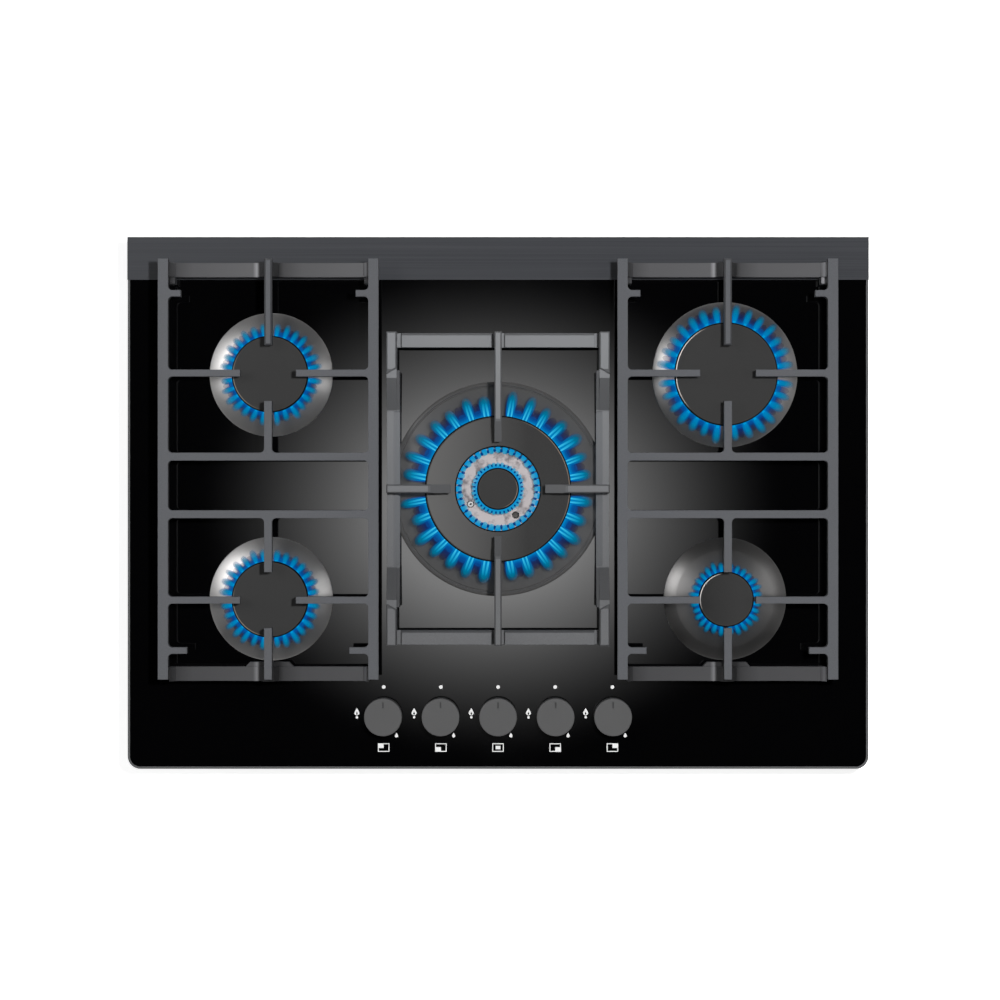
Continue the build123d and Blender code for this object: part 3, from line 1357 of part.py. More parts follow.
# The cable gland: a flange outside the tray's rear wall, a neck and a nut inside it.
with BuildPart() as cable_gland:
    with BuildSketch(Plane.XZ.offset(-casing_half_y - gland_flange)):
        with Locations((gland_x, gland_z)):
            RegularPolygon(gland_flange_radius, 6)
    extrude(amount=gland_flange)
    with BuildSketch(Plane.XZ.offset(-casing_half_y)):
        with Locations((gland_x, gland_z)):
            Circle(gland_neck_radius)
    extrude(amount=gland_neck_length)
    with BuildSketch(Plane.XZ.offset(-casing_half_y + casing_sheet)):
        with Locations((gland_x, gland_z)):
            RegularPolygon(gland_flange_radius, 6)
    extrude(amount=gland_flange)
    with BuildSketch(Plane.XZ.offset(-casing_half_y - gland_flange)):
        with Locations((gland_x, gland_z)):
            Circle(cable_hole_radius)
    extrude(amount=gland_flange + gland_neck_length, mode=Mode.SUBTRACT)
cable_gland.part.label = "cable_gland"
export_step(cable_gland.part, "parts/cable_gland.step")

# Pan-head screws that hold the cups to their bridges from below.
screw_places = []
for x, y, ring, cap, ports, slope in burners.values():
    screw_places.append((x, y - cup_screw_offset))
    screw_places.append((x, y + cup_screw_offset))
for offset in (-wok_bridge_offset, wok_bridge_offset):
    screw_places.append((-wok_screw_offset, centre_burner_y + offset))
    screw_places.append((wok_screw_offset, centre_burner_y + offset))
with BuildPart() as cup_screws:
    with BuildSketch(Plane.XY.offset(bridge_z - bridge_sheet)):
        with Locations(*screw_places):
            Circle(cup_screw_head_radius)
    extrude(amount=-cup_screw_head)
    with BuildSketch(Plane.XY.offset(bridge_z - bridge_sheet)):
        with Locations(*screw_places):
            Circle(cup_screw_radius)
    extrude(amount=bridge_sheet + cup_screw_depth - socket_gap)
cup_screws.part.label = "cup_screws"
export_step(cup_screws.part, "parts/cup_screws.step")
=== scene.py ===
"""A built-in gas cooktop: black glass, five lit burners, three cast pan supports and five knobs.

Metres, X to the right, Y to the rear, Z up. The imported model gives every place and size.
"""

import math

import bmesh
import bpy
from mathutils import Matrix, Vector


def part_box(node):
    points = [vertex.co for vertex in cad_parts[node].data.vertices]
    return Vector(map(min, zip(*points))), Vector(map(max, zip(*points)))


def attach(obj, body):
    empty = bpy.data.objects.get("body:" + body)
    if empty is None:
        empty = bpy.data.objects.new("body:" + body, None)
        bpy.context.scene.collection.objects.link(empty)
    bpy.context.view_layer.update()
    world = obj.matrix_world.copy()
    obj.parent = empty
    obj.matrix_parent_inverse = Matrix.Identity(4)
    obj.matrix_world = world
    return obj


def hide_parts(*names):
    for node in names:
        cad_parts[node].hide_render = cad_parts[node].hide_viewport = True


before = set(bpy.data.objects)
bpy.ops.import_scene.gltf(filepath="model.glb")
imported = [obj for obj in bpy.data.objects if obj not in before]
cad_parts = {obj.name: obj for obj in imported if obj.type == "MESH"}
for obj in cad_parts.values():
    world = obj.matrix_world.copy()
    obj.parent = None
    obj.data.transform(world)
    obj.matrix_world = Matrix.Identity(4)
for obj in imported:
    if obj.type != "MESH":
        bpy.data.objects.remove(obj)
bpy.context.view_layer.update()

scene = bpy.context.scene

# ------------------------------------------------------------------------------ camera
# The cooktop is seen from straight above, from three metres over the glass and a little
# to the right of and behind the panel's middle.
glass_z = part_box("glass_top")[1].z
view_distance = 3.0
view_across = 0.00184
view_along = 0.00288
view_width = 0.94429


def add(name, data):
    """A new object, linked to the scene."""
    made = bpy.data.objects.new(name, data)
    scene.collection.objects.link(made)
    return made


camera_data = bpy.data.cameras.new("camera")
camera_data.sensor_width = 36
camera_data.lens = camera_data.sensor_width * view_distance / view_width
camera_data.clip_end = 20
camera = add("camera", camera_data)
camera.location = (view_across, view_along, glass_z + view_distance)
scene.camera = camera

# -------------------------------------------------------------------------- glass panel
# One sheet of 8 mm toughened glass, black right through, with a ground and frosted bevel
# round its front and sides. It lies on a foam seal, and everything else hangs from it.


def new_finish(name, colour, roughness, metallic=0.0, **constants):
    """A new material with one principled shader; returns the material, its tree and the shader."""
    material = bpy.data.materials.new(name)
    material.use_nodes = True
    shader = material.node_tree.nodes["Principled BSDF"]
    shader.inputs["Base Color"].default_value = (*colour, 1)
    shader.inputs["Roughness"].default_value = roughness
    shader.inputs["Metallic"].default_value = metallic
    for socket, value in constants.items():
        shader.inputs[socket.replace("_", " ")].default_value = value
    return material, material.node_tree, shader


def place_in(tree, stretch=(1, 1, 1), centre=(0, 0, 0)):
    """Object coordinates about a centre, each axis stretched: a socket for textures."""
    mapping = tree.nodes.new("ShaderNodeMapping")
    mapping.inputs["Scale"].default_value = stretch
    mapping.inputs["Location"].default_value = [-c * s for c, s in zip(centre, stretch)]
    coordinates = tree.nodes.new("ShaderNodeTexCoord")
    tree.links.new(coordinates.outputs["Object"], mapping.inputs["Vector"])
    return mapping.outputs["Vector"]


def noise(tree, vector, scale, detail=4.0, roughness=0.6):
    """A noise texture's value on a vector socket; scale is in cells per metre."""
    texture = tree.nodes.new("ShaderNodeTexNoise")
    texture.inputs["Scale"].default_value = scale
    texture.inputs["Detail"].default_value = detail
    texture.inputs["Roughness"].default_value = roughness
    tree.links.new(vector, texture.inputs["Vector"])
    return texture.outputs["Fac"]


def spread(tree, value, low, high, source_low=0.3, source_high=0.7):
    """A value mapped from one range to another, and held inside it."""
    mapped = tree.nodes.new("ShaderNodeMapRange")
    mapped.inputs["From Min"].default_value = source_low
    mapped.inputs["From Max"].default_value = source_high
    mapped.inputs["To Min"].default_value = low
    mapped.inputs["To Max"].default_value = high
    tree.links.new(value, mapped.inputs["Value"])
    return mapped.outputs["Result"]


def put(tree, value, socket):
    """Link a socket to a value, or set it to a number or a colour of three numbers."""
    if isinstance(value, bpy.types.NodeSocket):
        tree.links.new(value, socket)
    else:
        socket.default_value = (*value, 1) if isinstance(value, tuple) else value


def blended(tree, factor, first, second):
    """Two colours, each a socket or a triple, mixed by a factor socket."""
    mix = tree.nodes.new("ShaderNodeMix")
    mix.data_type = "RGBA"
    put(tree, factor, mix.inputs["Factor"])
    put(tree, first, mix.inputs[6])
    put(tree, second, mix.inputs[7])
    return mix.outputs[2]


def two_tones(tree, grain, dark, light):
    """A colour that runs from dark to light with a grain socket."""
    return blended(tree, spread(tree, grain, 0, 1), dark, light)


def roughen(tree, shader, height, strength, depth):
    """Bump from a height socket; its depth is in metres."""
    bump = tree.nodes.new("ShaderNodeBump")
    bump.inputs["Strength"].default_value = strength
    bump.inputs["Distance"].default_value = depth
    tree.links.new(height, bump.inputs["Height"])
    tree.links.new(bump.outputs["Normal"], shader.inputs["Normal"])
    return bump


def coat_node(material, *names):
    """Give CAD nodes a material in place of the one they came with."""
    for name in names:
        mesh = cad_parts[name].data
        mesh.materials.clear()
        mesh.materials.append(material)


def upward(tree):
    """How far a surface faces up, from -1 to 1."""
    geometry = tree.nodes.new("ShaderNodeNewGeometry")
    parts = tree.nodes.new("ShaderNodeSeparateXYZ")
    tree.links.new(geometry.outputs["True Normal"], parts.inputs["Vector"])
    return parts.outputs["Z"]


glass_black = (0.001, 0.001, 0.0012)
frosted_roughness = 0.5
black_glass, tree, shader = new_finish("black_glass", glass_black, 0.04, IOR=1.5)
on_bevel = spread(tree, upward(tree), 1, 0, 0.85, 0.95)
frosting = noise(tree, place_in(tree), 900)
frosted = two_tones(tree, frosting, (0.05, 0.052, 0.055), (0.09, 0.092, 0.095))
put(tree, blended(tree, on_bevel, glass_black, frosted), shader.inputs["Base Color"])
smears = spread(tree, noise(tree, place_in(tree), 14), 0.02, 0.05)
rough_mix = tree.nodes.new("ShaderNodeMix")
put(tree, on_bevel, rough_mix.inputs[0])
put(tree, smears, rough_mix.inputs[2])
put(tree, frosted_roughness, rough_mix.inputs[3])
put(tree, rough_mix.outputs[0], shader.inputs["Roughness"])
coat_node(black_glass, "glass_top")

# ---------------------------------------------------------------------- printed symbols
# White ceramic ink fired into the glass round each knob: a dot for off, a large and a
# small flame for the two settings, and a square that shows which burner the knob feeds.
print_thickness = 0.00006
dot_radius = 0.00175
dot_rise = 0.0273
large_flame_offset = (-0.0253, 0.0040)
large_flame_size = (0.0051, 0.0070)
flame_eye_size = (0.0016, 0.0032)
flame_eye_drop = 0.0014
flame_dot_drop = 0.0053
flame_dot_radius = 0.0012
small_flame_offset = (0.0121, -0.0181)
small_flame_size = (0.0034, 0.0045)
square_drop = 0.0299
square_width = 0.0108
square_height = 0.0080
square_line = 0.0008
quarter_lap = 0.0004
lit_quarters = ((-1, 1), (-1, -1), (0, 0), (1, -1), (1, 1))


def dress(tree, shader, tone, grain=None, roughness=None, bump=None):
    """Link a tone to a shader. A grain socket may set its roughness, in a range, and a bump of a
    strength and a depth; returns the bump."""
    put(tree, tone, shader.inputs["Base Color"])
    if roughness:
        put(tree, spread(tree, grain, *roughness), shader.inputs["Roughness"])
    if bump:
        return roughen(tree, shader, grain, *bump)


def grained(
    name, rough, metallic, scale, dark, light, roughness=None, bump=None, detail=4, stretch=(1, 1, 1)
):
    """A finish with one noise, for its two tones and, if they are given, its roughness and bump."""
    material, tree, shader = new_finish(name, light, rough, metallic)
    grain = noise(tree, place_in(tree, stretch), scale, detail)
    dress(tree, shader, two_tones(tree, grain, dark, light), grain, roughness, bump)
    return material


def loop_spline(curve, points):
    """Add one closed straight-sided outline to a flat curve."""
    spline = curve.splines.new("POLY")
    spline.points.add(len(points) - 1)
    for point, (x, y) in zip(spline.points, points):
        point.co = (x, y, 0, 1)
    spline.use_cyclic_u = True


def round_points(x, y, radius, count=24):
    """Points on a circle."""
    return [
        (x + radius * math.cos(math.tau * i / count), y + radius * math.sin(math.tau * i / count))
        for i in range(count)
    ]


def flame_points(x, y, width, height, count=28, belly=0.62, taper=0.25):
    """A drop with a pointed top: the half width swells from the foot and runs out at the tip."""
    right = []
    for i in range(count + 1):
        t = i / count
        half = width / 2 * math.sin(math.pi * t ** belly) * (1 - taper * t)
        right.append((x + half, y - height / 2 + height * t))
    left = [(2 * x - px, py) for px, py in reversed(right[1:-1])]
    return right + left


def rectangle_points(x, y, width, height):
    """The corners of a rectangle about its centre."""
    return [(x + sx * width / 2, y + sy * height / 2) for sx, sy in ((-1, -1), (1, -1), (1, 1), (-1, 1))]


ink = grained("white_ink", 0.35, 0.0, 1200, (0.72, 0.72, 0.72), (0.86, 0.86, 0.85))
for number, (quarter_x, quarter_y) in enumerate(lit_quarters, 1):
    knob_low, knob_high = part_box(f"knob_{number}")
    centre = (knob_low + knob_high) / 2
    curve = bpy.data.curves.new(f"print_{number}", "CURVE")
    curve.dimensions = "2D"
    curve.fill_mode = "BOTH"
    curve.extrude = print_thickness / 2
    loop_spline(curve, round_points(centre.x, centre.y + dot_rise, dot_radius))
    large_x = centre.x + large_flame_offset[0]
    large_y = centre.y + large_flame_offset[1]
    loop_spline(curve, flame_points(large_x, large_y, *large_flame_size))
    loop_spline(curve, flame_points(large_x, large_y - flame_eye_drop, *flame_eye_size))
    loop_spline(curve, round_points(large_x, large_y - flame_dot_drop, flame_dot_radius, 14))
    small_x = centre.x + small_flame_offset[0]
    small_y = centre.y + small_flame_offset[1]
    loop_spline(curve, flame_points(small_x, small_y, *small_flame_size))
    square_y = centre.y - square_drop
    half_x = square_width / 2 - square_line
    half_y = square_height / 2 - square_line
    loop_spline(curve, rectangle_points(centre.x, square_y, square_width, square_height))
    if quarter_x == 0:
        loop_spline(curve, rectangle_points(centre.x, square_y, 2 * half_x, 2 * half_y))
        loop_spline(curve, rectangle_points(centre.x, square_y, half_x, half_y))
    else:
        lap = -quarter_y * quarter_lap
        highlight_tone = [
            (0, lap),
            (0, quarter_y * half_y),
            (-quarter_x * half_x, quarter_y * half_y),
            (-quarter_x * half_x, -quarter_y * half_y),
            (quarter_x * half_x, -quarter_y * half_y),
            (quarter_x * half_x, lap),
        ]
        loop_spline(curve, [(centre.x + x, square_y + y) for x, y in highlight_tone])
    drawn = add(f"print_{number}_curve", curve)
    mesh = bpy.data.meshes.new_from_object(drawn)
    mesh.transform(Matrix.Translation((0, 0, glass_z + print_thickness / 2)))
    bpy.data.objects.remove(drawn)
    printed = add(f"print_{number}", mesh)
    mesh.materials.clear()
    mesh.materials.append(ink)
    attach(printed, "base")

# ---------------------------------------------------------------------------- rear trim
# A folded strip of dark steel over the glass's rear edge, which the bevel doesn't follow.
# It is brushed along its length and has a dull dark finish.
trim_steel, tree, shader = new_finish("brushed_dark_steel", (0.05, 0.05, 0.055), 0.5, 0.05)
shader.inputs["Specular IOR Level"].default_value = 0.15
brushing = noise(tree, place_in(tree, (3, 900, 900)), 1.0, 3)
broad = noise(tree, place_in(tree, (3, 40, 40)), 1.0, 2)
tone = two_tones(tree, brushing, (0.036, 0.038, 0.043), (0.054, 0.056, 0.062))
tone = blended(tree, spread(tree, broad, 0, 0.35), tone, (0.040, 0.042, 0.047))
dress(tree, shader, tone, brushing, (0.42, 0.56), (0.25, 0.00004))
coat_node(trim_steel, "rear_trim")

# ------------------------------------------------------------------------- seal, casing
# Closed-cell foam lies between the glass and the worktop. The casing below is a pressed
# tray of galvanised steel, with the bridges that carry the burners welded into it.
foam_tones = (0.012, 0.012, 0.012), (0.035, 0.035, 0.036)
foam = grained("seal_foam", 0.9, 0.0, 2500, *foam_tones, bump=(0.6, 0.0003))
coat_node(foam, "worktop_seal")

galvanised, tree, shader = new_finish("galvanised_sheet", (0.42, 0.43, 0.44), 0.4, 0.9)
spangle = tree.nodes.new("ShaderNodeTexVoronoi")
spangle.inputs["Scale"].default_value = 120
put(tree, place_in(tree), spangle.inputs["Vector"])
cloud = noise(tree, place_in(tree), 40)
flakes = blended(tree, spangle.outputs["Color"], (0.40, 0.41, 0.42), (0.50, 0.51, 0.53))
sheet_tone = blended(tree, spread(tree, cloud, 0, 0.4), flakes, (0.36, 0.37, 0.38))
dress(tree, shader, sheet_tone, cloud, (0.32, 0.5), (0.15, 0.0002))
coat_node(galvanised, "casing_tray")

# ------------------------------------------------------------------- gas and wiring parts
# What the casing hides: steel rail, aluminium tubes and tap bodies, turned brass, and the
# black mouldings of the spark generator and the cable gland.
tap_numbers = range(1, 6)
burner_places = ("rear_left", "front_left", "rear_right", "front_right", "centre")
steel_tones = (0.42, 0.42, 0.43), (0.56, 0.56, 0.57)
tube_steel = grained(
    "drawn_steel", 0.35, 1.0, 1.0, *steel_tones, bump=(0.15, 0.00005), detail=3, stretch=(30, 600, 600)
)
coat_node(tube_steel, "gas_rail", "cup_screws", *[f"spindle_{n}" for n in tap_numbers])

probe_steel = grained("heated_steel", 0.5, 0.6, 400, (0.05, 0.045, 0.042), (0.13, 0.115, 0.105))
coat_node(probe_steel, "thermocouples")

brass, tree, shader = new_finish("turned_brass", (0.66, 0.47, 0.2), 0.3, 1.0)
tarnish = noise(tree, place_in(tree), 180)
brass_tone = two_tones(tree, tarnish, (0.52, 0.36, 0.15), (0.74, 0.55, 0.26))
dress(tree, shader, brass_tone, tarnish, (0.22, 0.42))
# the inlet's thread, as fine turns round an axis that points to the rear
turns = tree.nodes.new("ShaderNodeTexWave")
turns.bands_direction = "Y"
turns.inputs["Scale"].default_value = 170
turns.inputs["Distortion"].default_value = 0.1
put(tree, place_in(tree), turns.inputs["Vector"])
roughen(tree, shader, turns.outputs["Fac"], 0.5, 0.0006)
coat_node(brass, "gas_inlet_union", "injectors", *[f"tap_plug_{n}" for n in tap_numbers])

cast_tones = (0.40, 0.40, 0.41), (0.55, 0.55, 0.56)
cast_aluminium = grained("cast_aluminium", 0.5, 0.9, 500, *cast_tones, (0.42, 0.6), (0.3, 0.0002))
coat_node(cast_aluminium, "supply_tubes", *[f"tap_body_{n}" for n in tap_numbers])
coat_node(cast_aluminium, *[f"burner_cup_{place}" for place in burner_places])

black_tones = (0.014, 0.014, 0.015), (0.03, 0.03, 0.031)
moulding = grained("black_moulding", 0.5, 0.0, 1800, *black_tones, bump=(0.35, 0.0001))
coat_node(moulding, "spark_generator", "cable_gland")


def distance(tree, centre=(0, 0, 0), stretch=(1, 1, 0)):
    """How far a point is from an upright axis, or from a centre if the stretch has a height."""
    made = tree.nodes.new("ShaderNodeVectorMath")
    made.operation = "LENGTH"
    put(tree, place_in(tree, stretch, centre), made.inputs[0])
    return made.outputs["Value"]


# the centre burner's electrode shows its steel pin inside the ceramic tube
electrode_axis = (-0.0255, -0.0009, 0)
pin_radius = 0.0009
tube_bore = 0.0012
ceramic, tree, shader = new_finish("electrode_ceramic", (0.8, 0.78, 0.72), 0.25)
glaze = two_tones(tree, noise(tree, place_in(tree), 900), (0.46, 0.43, 0.40), (0.58, 0.55, 0.52))
in_tube = spread(tree, distance(tree, electrode_axis), 0, 1, pin_radius, tube_bore)
put(tree, blended(tree, in_tube, (0.015, 0.015, 0.016), glaze), shader.inputs["Base Color"])
coat_node(ceramic, "spark_electrodes")

# ------------------------------------------------------------------------- burner rings
# Turned aluminium rings that lie on the glass round the burners, with fine lathe lines on
# a sloping band. The centre burner's is darker, with a lip and a groove near its rim.
turned_segments = 160
# grey with a trace of warmth
aluminium_tint = (1, 0.982, 0.97)


def lathe(name, outline, centre, segments=turned_segments, sharp=40):
    """A closed outline of (radius, height) points turned about the upright through centre."""
    shape = bmesh.new()
    rows = []
    for radius, height in outline:
        turns = [math.tau * i / segments for i in range(segments)]
        points = [(radius * math.cos(turn), radius * math.sin(turn), height) for turn in turns]
        rows.append([shape.verts.new((centre.x + x, centre.y + y, z)) for x, y, z in points])
    for this, following in zip(rows, rows[1:] + rows[:1]):
        for i in range(segments):
            j = (i + 1) % segments
            shape.faces.new((this[i], this[j], following[j], following[i]))
    bmesh.ops.remove_doubles(shape, verts=shape.verts, dist=1e-6)
    bmesh.ops.recalc_face_normals(shape, faces=shape.faces)
    mesh = bpy.data.meshes.new(name)
    shape.to_mesh(mesh)
    shape.free()
    mesh.shade_smooth()
    mesh.set_sharp_from_angle(angle=math.radians(sharp))
    return add(name, mesh)


def round_box(node):
    """A round node's lowest and highest corners at rest, its axis and its radius."""
    low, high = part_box(node)
    return low, high, Vector(((low.x + high.x) / 2, (low.y + high.y) / 2, 0)), (high.x - low.x) / 2


def turned_metal(name, centre, dark, light, roughness, groove_scale, metallic):
    """Metal with fine circles about an upright axis; its shine spreads across the circles."""
    dark, light = [tuple(level * share for share in aluminium_tint) for level in (dark, light)]
    material, tree, shader = new_finish(name, light, roughness, metallic, Anisotropic=0.7)
    shader.inputs["Anisotropic Rotation"].default_value = 0.25
    tangent = tree.nodes.new("ShaderNodeTangent")
    tangent.direction_type = "RADIAL"
    tangent.axis = "Z"
    put(tree, tangent.outputs["Tangent"], shader.inputs["Tangent"])
    circles = tree.nodes.new("ShaderNodeTexWave")
    circles.wave_type = "RINGS"
    circles.rings_direction = "Z"
    circles.inputs["Scale"].default_value = groove_scale
    circles.inputs["Distortion"].default_value = 1.5
    circles.inputs["Detail"].default_value = 3
    circles.inputs["Detail Scale"].default_value = 0.4
    put(tree, place_in(tree, (1, 1, 0), centre), circles.inputs["Vector"])
    heat = noise(tree, place_in(tree), 60)
    lined = blended(tree, circles.outputs["Fac"], dark, light)
    put(tree, blended(tree, spread(tree, heat, 0, 0.35), lined, dark), shader.inputs["Base Color"])
    roughen(tree, shader, circles.outputs["Fac"], 0.2, 0.00003)
    return material


ring_edge_height = 0.0015
ring_edge_round = 0.0006
ring_foot_round = 0.0003
ring_top_round = 0.0002
neck_step = 0.0015
neck_gap = 0.0004
wok_neck_slope = 0.0025
# inward from the rim and up from the edge: a rolled lip, then a groove
wok_lip = (
    (0.0005, 0),
    (0.0022, 0.0005),
    (0.0030, 0.0005),
    (0.0036, -0.0002),
    (0.0044, -0.0002),
    (0.0050, 0.0004),
)
# tones of the grooves and the lands, and the width of the sloping band; the rear right and front right rings
# take darker tones than the left ones, which is painted shade
ring_looks = {
    "rear_left": (0.34, 0.45, 0.0140),
    "front_left": (0.34, 0.45, 0.0140),
    "rear_right": (0.27, 0.38, 0.0140),
    "front_right": (0.125, 0.175, 0.0113),
    "centre": (0.058, 0.078, 0),
}
for place, (dark, light, band) in ring_looks.items():
    low, high, centre, outer = round_box(f"burner_ring_{place}")
    neck = round_box(f"burner_crown_{place}")[3] - neck_step + neck_gap
    edge = low.z + ring_edge_height
    if place == "centre":
        outline = [(neck, low.z), (outer, low.z), (outer, edge - ring_edge_round)]
        outline += [(outer - inward, edge + rise) for inward, rise in wok_lip]
        outline += [(neck + wok_neck_slope, high.z), (neck, high.z)]
        metal = turned_metal(f"ring_metal_{place}", centre, dark, light, 0.42, 260, 0.15)
    else:
        outline = [
            (neck, low.z),
            (outer - ring_foot_round, low.z),
            (outer, low.z + ring_foot_round),
            (outer, edge - ring_edge_round),
            (outer - ring_edge_round, edge),
            (outer - band, high.z - ring_top_round),
            (outer - band - ring_edge_round, high.z),
            (neck, high.z),
        ]
        metal = turned_metal(f"ring_metal_{place}", centre, dark, light, 0.36, 300, 0.95)
    ring = lathe(f"trim_ring_{place}", outline, centre)
    ring.data.materials.append(metal)
    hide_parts(f"burner_ring_{place}")
    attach(ring, "base")

# ------------------------------------------------------------------------ burner crowns
# Cast flame spreaders that drop into the burner cups, with slots in their walls. The centre
# one shows a dished and polished floor between its two rows of small flames.
wok_centre = round_box("burner_crown_centre")[2]
dish_inner = 0.0182
dish_outer = 0.0409
dish_edge = 0.0015
soot_tones = (0.05, 0.048, 0.046), (0.12, 0.117, 0.114)
crown_metal = grained("crown_metal", 0.45, 0.9, 220, *soot_tones, (0.38, 0.55), (0.3, 0.0002))
coat_node(crown_metal, *[f"burner_crown_{place}" for place in burner_places[:4]])

dish_metal, tree, shader = new_finish("polished_dish", (0.2, 0.195, 0.19), 0.45, 0.9)
inside = spread(tree, distance(tree, wok_centre), 1, 0, dish_outer - dish_edge, dish_outer - dish_edge / 2)
blotches = noise(tree, place_in(tree, (1, 1, 0.2)), 120, 3, 0.5)
polish = blended(tree, spread(tree, blotches, 0, 1, 0.34, 0.50), (0.20, 0.165, 0.16), (0.50, 0.425, 0.40))
cast = two_tones(tree, noise(tree, place_in(tree), 220), (0.03, 0.029, 0.028), (0.07, 0.068, 0.066))
dress(tree, shader, blended(tree, inside, cast, polish), blotches, bump=(0.35, 0.0006))
put(tree, spread(tree, inside, 0.5, 0.38, 0, 1), shader.inputs["Roughness"])
put(tree, spread(tree, inside, 0.6, 0.2, 0, 1), shader.inputs["Metallic"])
coat_node(dish_metal, "burner_crown_centre")

# --------------------------------------------------------------------------- burner caps
# Pressed steel lids that lie loose on the crowns, in matt dark enamel, with a rounded edge that carries a
# painted highlight on one side. The centre burner has a ring-shaped one and a small one.
cap_round = 0.0012
cap_rise = 0.0004
cap_sheet = 0.0055
cap_overhang = 0.0015
crown_wall = 0.0065
rim_gap = 0.0004
rim_wall = 0.0022
plain_ground = (0.035, 0.035, 0.035)
shaded_edge = (0.002, 0.002, 0.002)


def cap_enamel(name, centre, outer, highlight_turn, highlight_tone, left_light_and_shade=plain_ground, hole=0.0):
    """Matt dark grey enamel with a fine speckle, and a painted highlight in a highlight tone on one side of
    the rounded edge; the side is a turn about the upright. The left of the lid takes its own tone, a painted
    highlight where it is lighter and painted shade where it is darker."""
    material, tree, shader = new_finish(name, plain_ground, 0.55, 0.0, Specular_IOR_Level=0.12)
    speckle = noise(tree, place_in(tree), 1500, 3)
    cloud = noise(tree, place_in(tree), 45, 3)
    ground = two_tones(tree, speckle, (0.028, 0.028, 0.028), (0.040, 0.040, 0.040))
    ground = blended(tree, spread(tree, cloud, 0, 0.35), ground, (0.036, 0.035, 0.035))
    across = tree.nodes.new("ShaderNodeSeparateXYZ")
    put(tree, place_in(tree, (1 / outer, 0, 0), centre), across.inputs[0])
    # painted light and shade: the left side of the lid blends to its own tone
    ground = blended(tree, spread(tree, across.outputs["X"], 0.9, 0, -0.9, 0.4), ground, left_light_and_shade)
    reach = distance(tree, centre)
    # painted highlight: a band near the rounded edge takes a pale tone on the side that the highlight's turn
    # points to
    highlight_band = spread(tree, reach, 0, 1, outer - cap_round * 1.8, outer - cap_round * 1.5)
    facing = tree.nodes.new("ShaderNodeVectorMath")
    facing.operation = "DOT_PRODUCT"
    facing.inputs[1].default_value = (math.cos(highlight_turn) / outer, math.sin(highlight_turn) / outer, 0)
    put(tree, place_in(tree, (1, 1, 0), centre), facing.inputs[0])
    highlight_side = spread(tree, facing.outputs["Value"], 0.0, 1.0, 0.55, 0.92)
    ground = blended(tree, highlight_band, ground, blended(tree, highlight_side, (0.045, 0.042, 0.040), highlight_tone))
    # painted shade: the outermost edge, and the edge round an opening, are drawn near black
    rim = spread(tree, reach, 0, 1, outer - cap_round * 1.15, outer - cap_round * 0.95)
    ground = blended(tree, rim, ground, shaded_edge)
    if hole:
        ground = blended(tree, spread(tree, reach, 1, 0, hole + 0.0010, hole + 0.0013), ground, shaded_edge)
    dress(tree, shader, ground, speckle, (0.5, 0.66), (0.25, 0.00012))
    return material


def rounded_rim(outer, low_z, high_z, corner, steps=5):
    """The outline from a lid's lower outer corner over its rounded upper edge."""
    points = [(outer, low_z), (outer, high_z - corner)]
    for i in range(1, steps + 1):
        turn = math.pi / 2 * i / steps
        points.append((outer - corner * (1 - math.cos(turn)), high_z - corner * (1 - math.sin(turn))))
    return points


def fit_lid(place, centre, under, crown, enamel, mouth=()):
    """Turn a lid in place of a CAD cap: from its hidden rim over the rounded edge to its crown,
    which is pairs of a share of the radius and a drop in shares of the rise. A mouth is the
    outline round an opening in its middle."""
    low, high, _, outer = round_box(f"burner_cap_{place}")
    rim = outer - cap_overhang - crown_wall - rim_gap
    start = mouth[-1][0] if mouth else 0
    outline = [(start, under), (rim - rim_wall, under), (rim - rim_wall, low.z), (rim, low.z), (rim, under)]
    outline += rounded_rim(outer, under, high.z - cap_rise, cap_round)
    outline += [(outer * share, high.z - cap_rise * drop) for share, drop in crown]
    cap = lathe(f"lid_{place}", outline + list(mouth), centre)
    cap.data.materials.append(enamel)
    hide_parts(f"burner_cap_{place}")
    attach(cap, f"cap_{place}")


# where the edge's painted highlight lies and its tone there, and the tone of the lid's left, which on the
# front right lid is painted shade
lid_looks = {
    "rear_left": (math.radians(200), (0.22, 0.19, 0.16), plain_ground),
    "front_left": (math.radians(215), (0.22, 0.19, 0.16), plain_ground),
    "rear_right": (math.radians(168), (0.75, 0.70, 0.66), plain_ground),
    "front_right": (math.radians(150), (0.70, 0.68, 0.66), (0.022, 0.022, 0.022)),
}
for place, lid_look in lid_looks.items():
    _, _, centre, outer = round_box(f"burner_cap_{place}")
    enamel = cap_enamel(f"lid_enamel_{place}", centre, outer, *lid_look)
    crown_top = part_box(f"burner_crown_{place}")[1].z
    fit_lid(place, centre, crown_top, ((0.9, 0.6), (0.5, 0.1), (0, 0)), enamel)

_, high, _, outer = round_box("burner_cap_centre_outer")
opening = 0.0394
opening_slope = 0.004
opening_round = 0.0009
under = high.z - cap_sheet
inner_edge = rounded_rim(0, under, high.z - cap_rise, opening_round)
mouth = [(opening + opening_slope, high.z - cap_rise * 0.3)]
mouth += [(opening - radius, height) for radius, height in reversed(inner_edge)]
# painted highlight: the wok lid's left takes this pale tone, and the wok and hub lids' edges a brown
# highlight tone
painted_light_tone = (0.118, 0.117, 0.116)
enamel = cap_enamel("lid_enamel_wok", wok_centre, outer, 0.3, (0.20, 0.16, 0.13), painted_light_tone, opening)
fit_lid("centre_outer", wok_centre, under, ((0.93, 0.4), (0.8, 0)), enamel, mouth)

_, high, _, outer = round_box("burner_cap_centre_inner")
enamel = cap_enamel("lid_enamel_hub", wok_centre, outer, -0.4, (0.20, 0.16, 0.13))
fit_lid("centre_inner", wok_centre, high.z - cap_sheet, ((0.85, 0.5), (0.4, 0.1), (0, 0)), enamel)

# -------------------------------------------------------------------------------- flames
# Burning gas: seven tongues in each quarter of a crown, and none under a support's finger.
# A deep blue mantle surrounds a bright body that leans outwards and up; on the centre
# burner it has two pale streaks near its root.


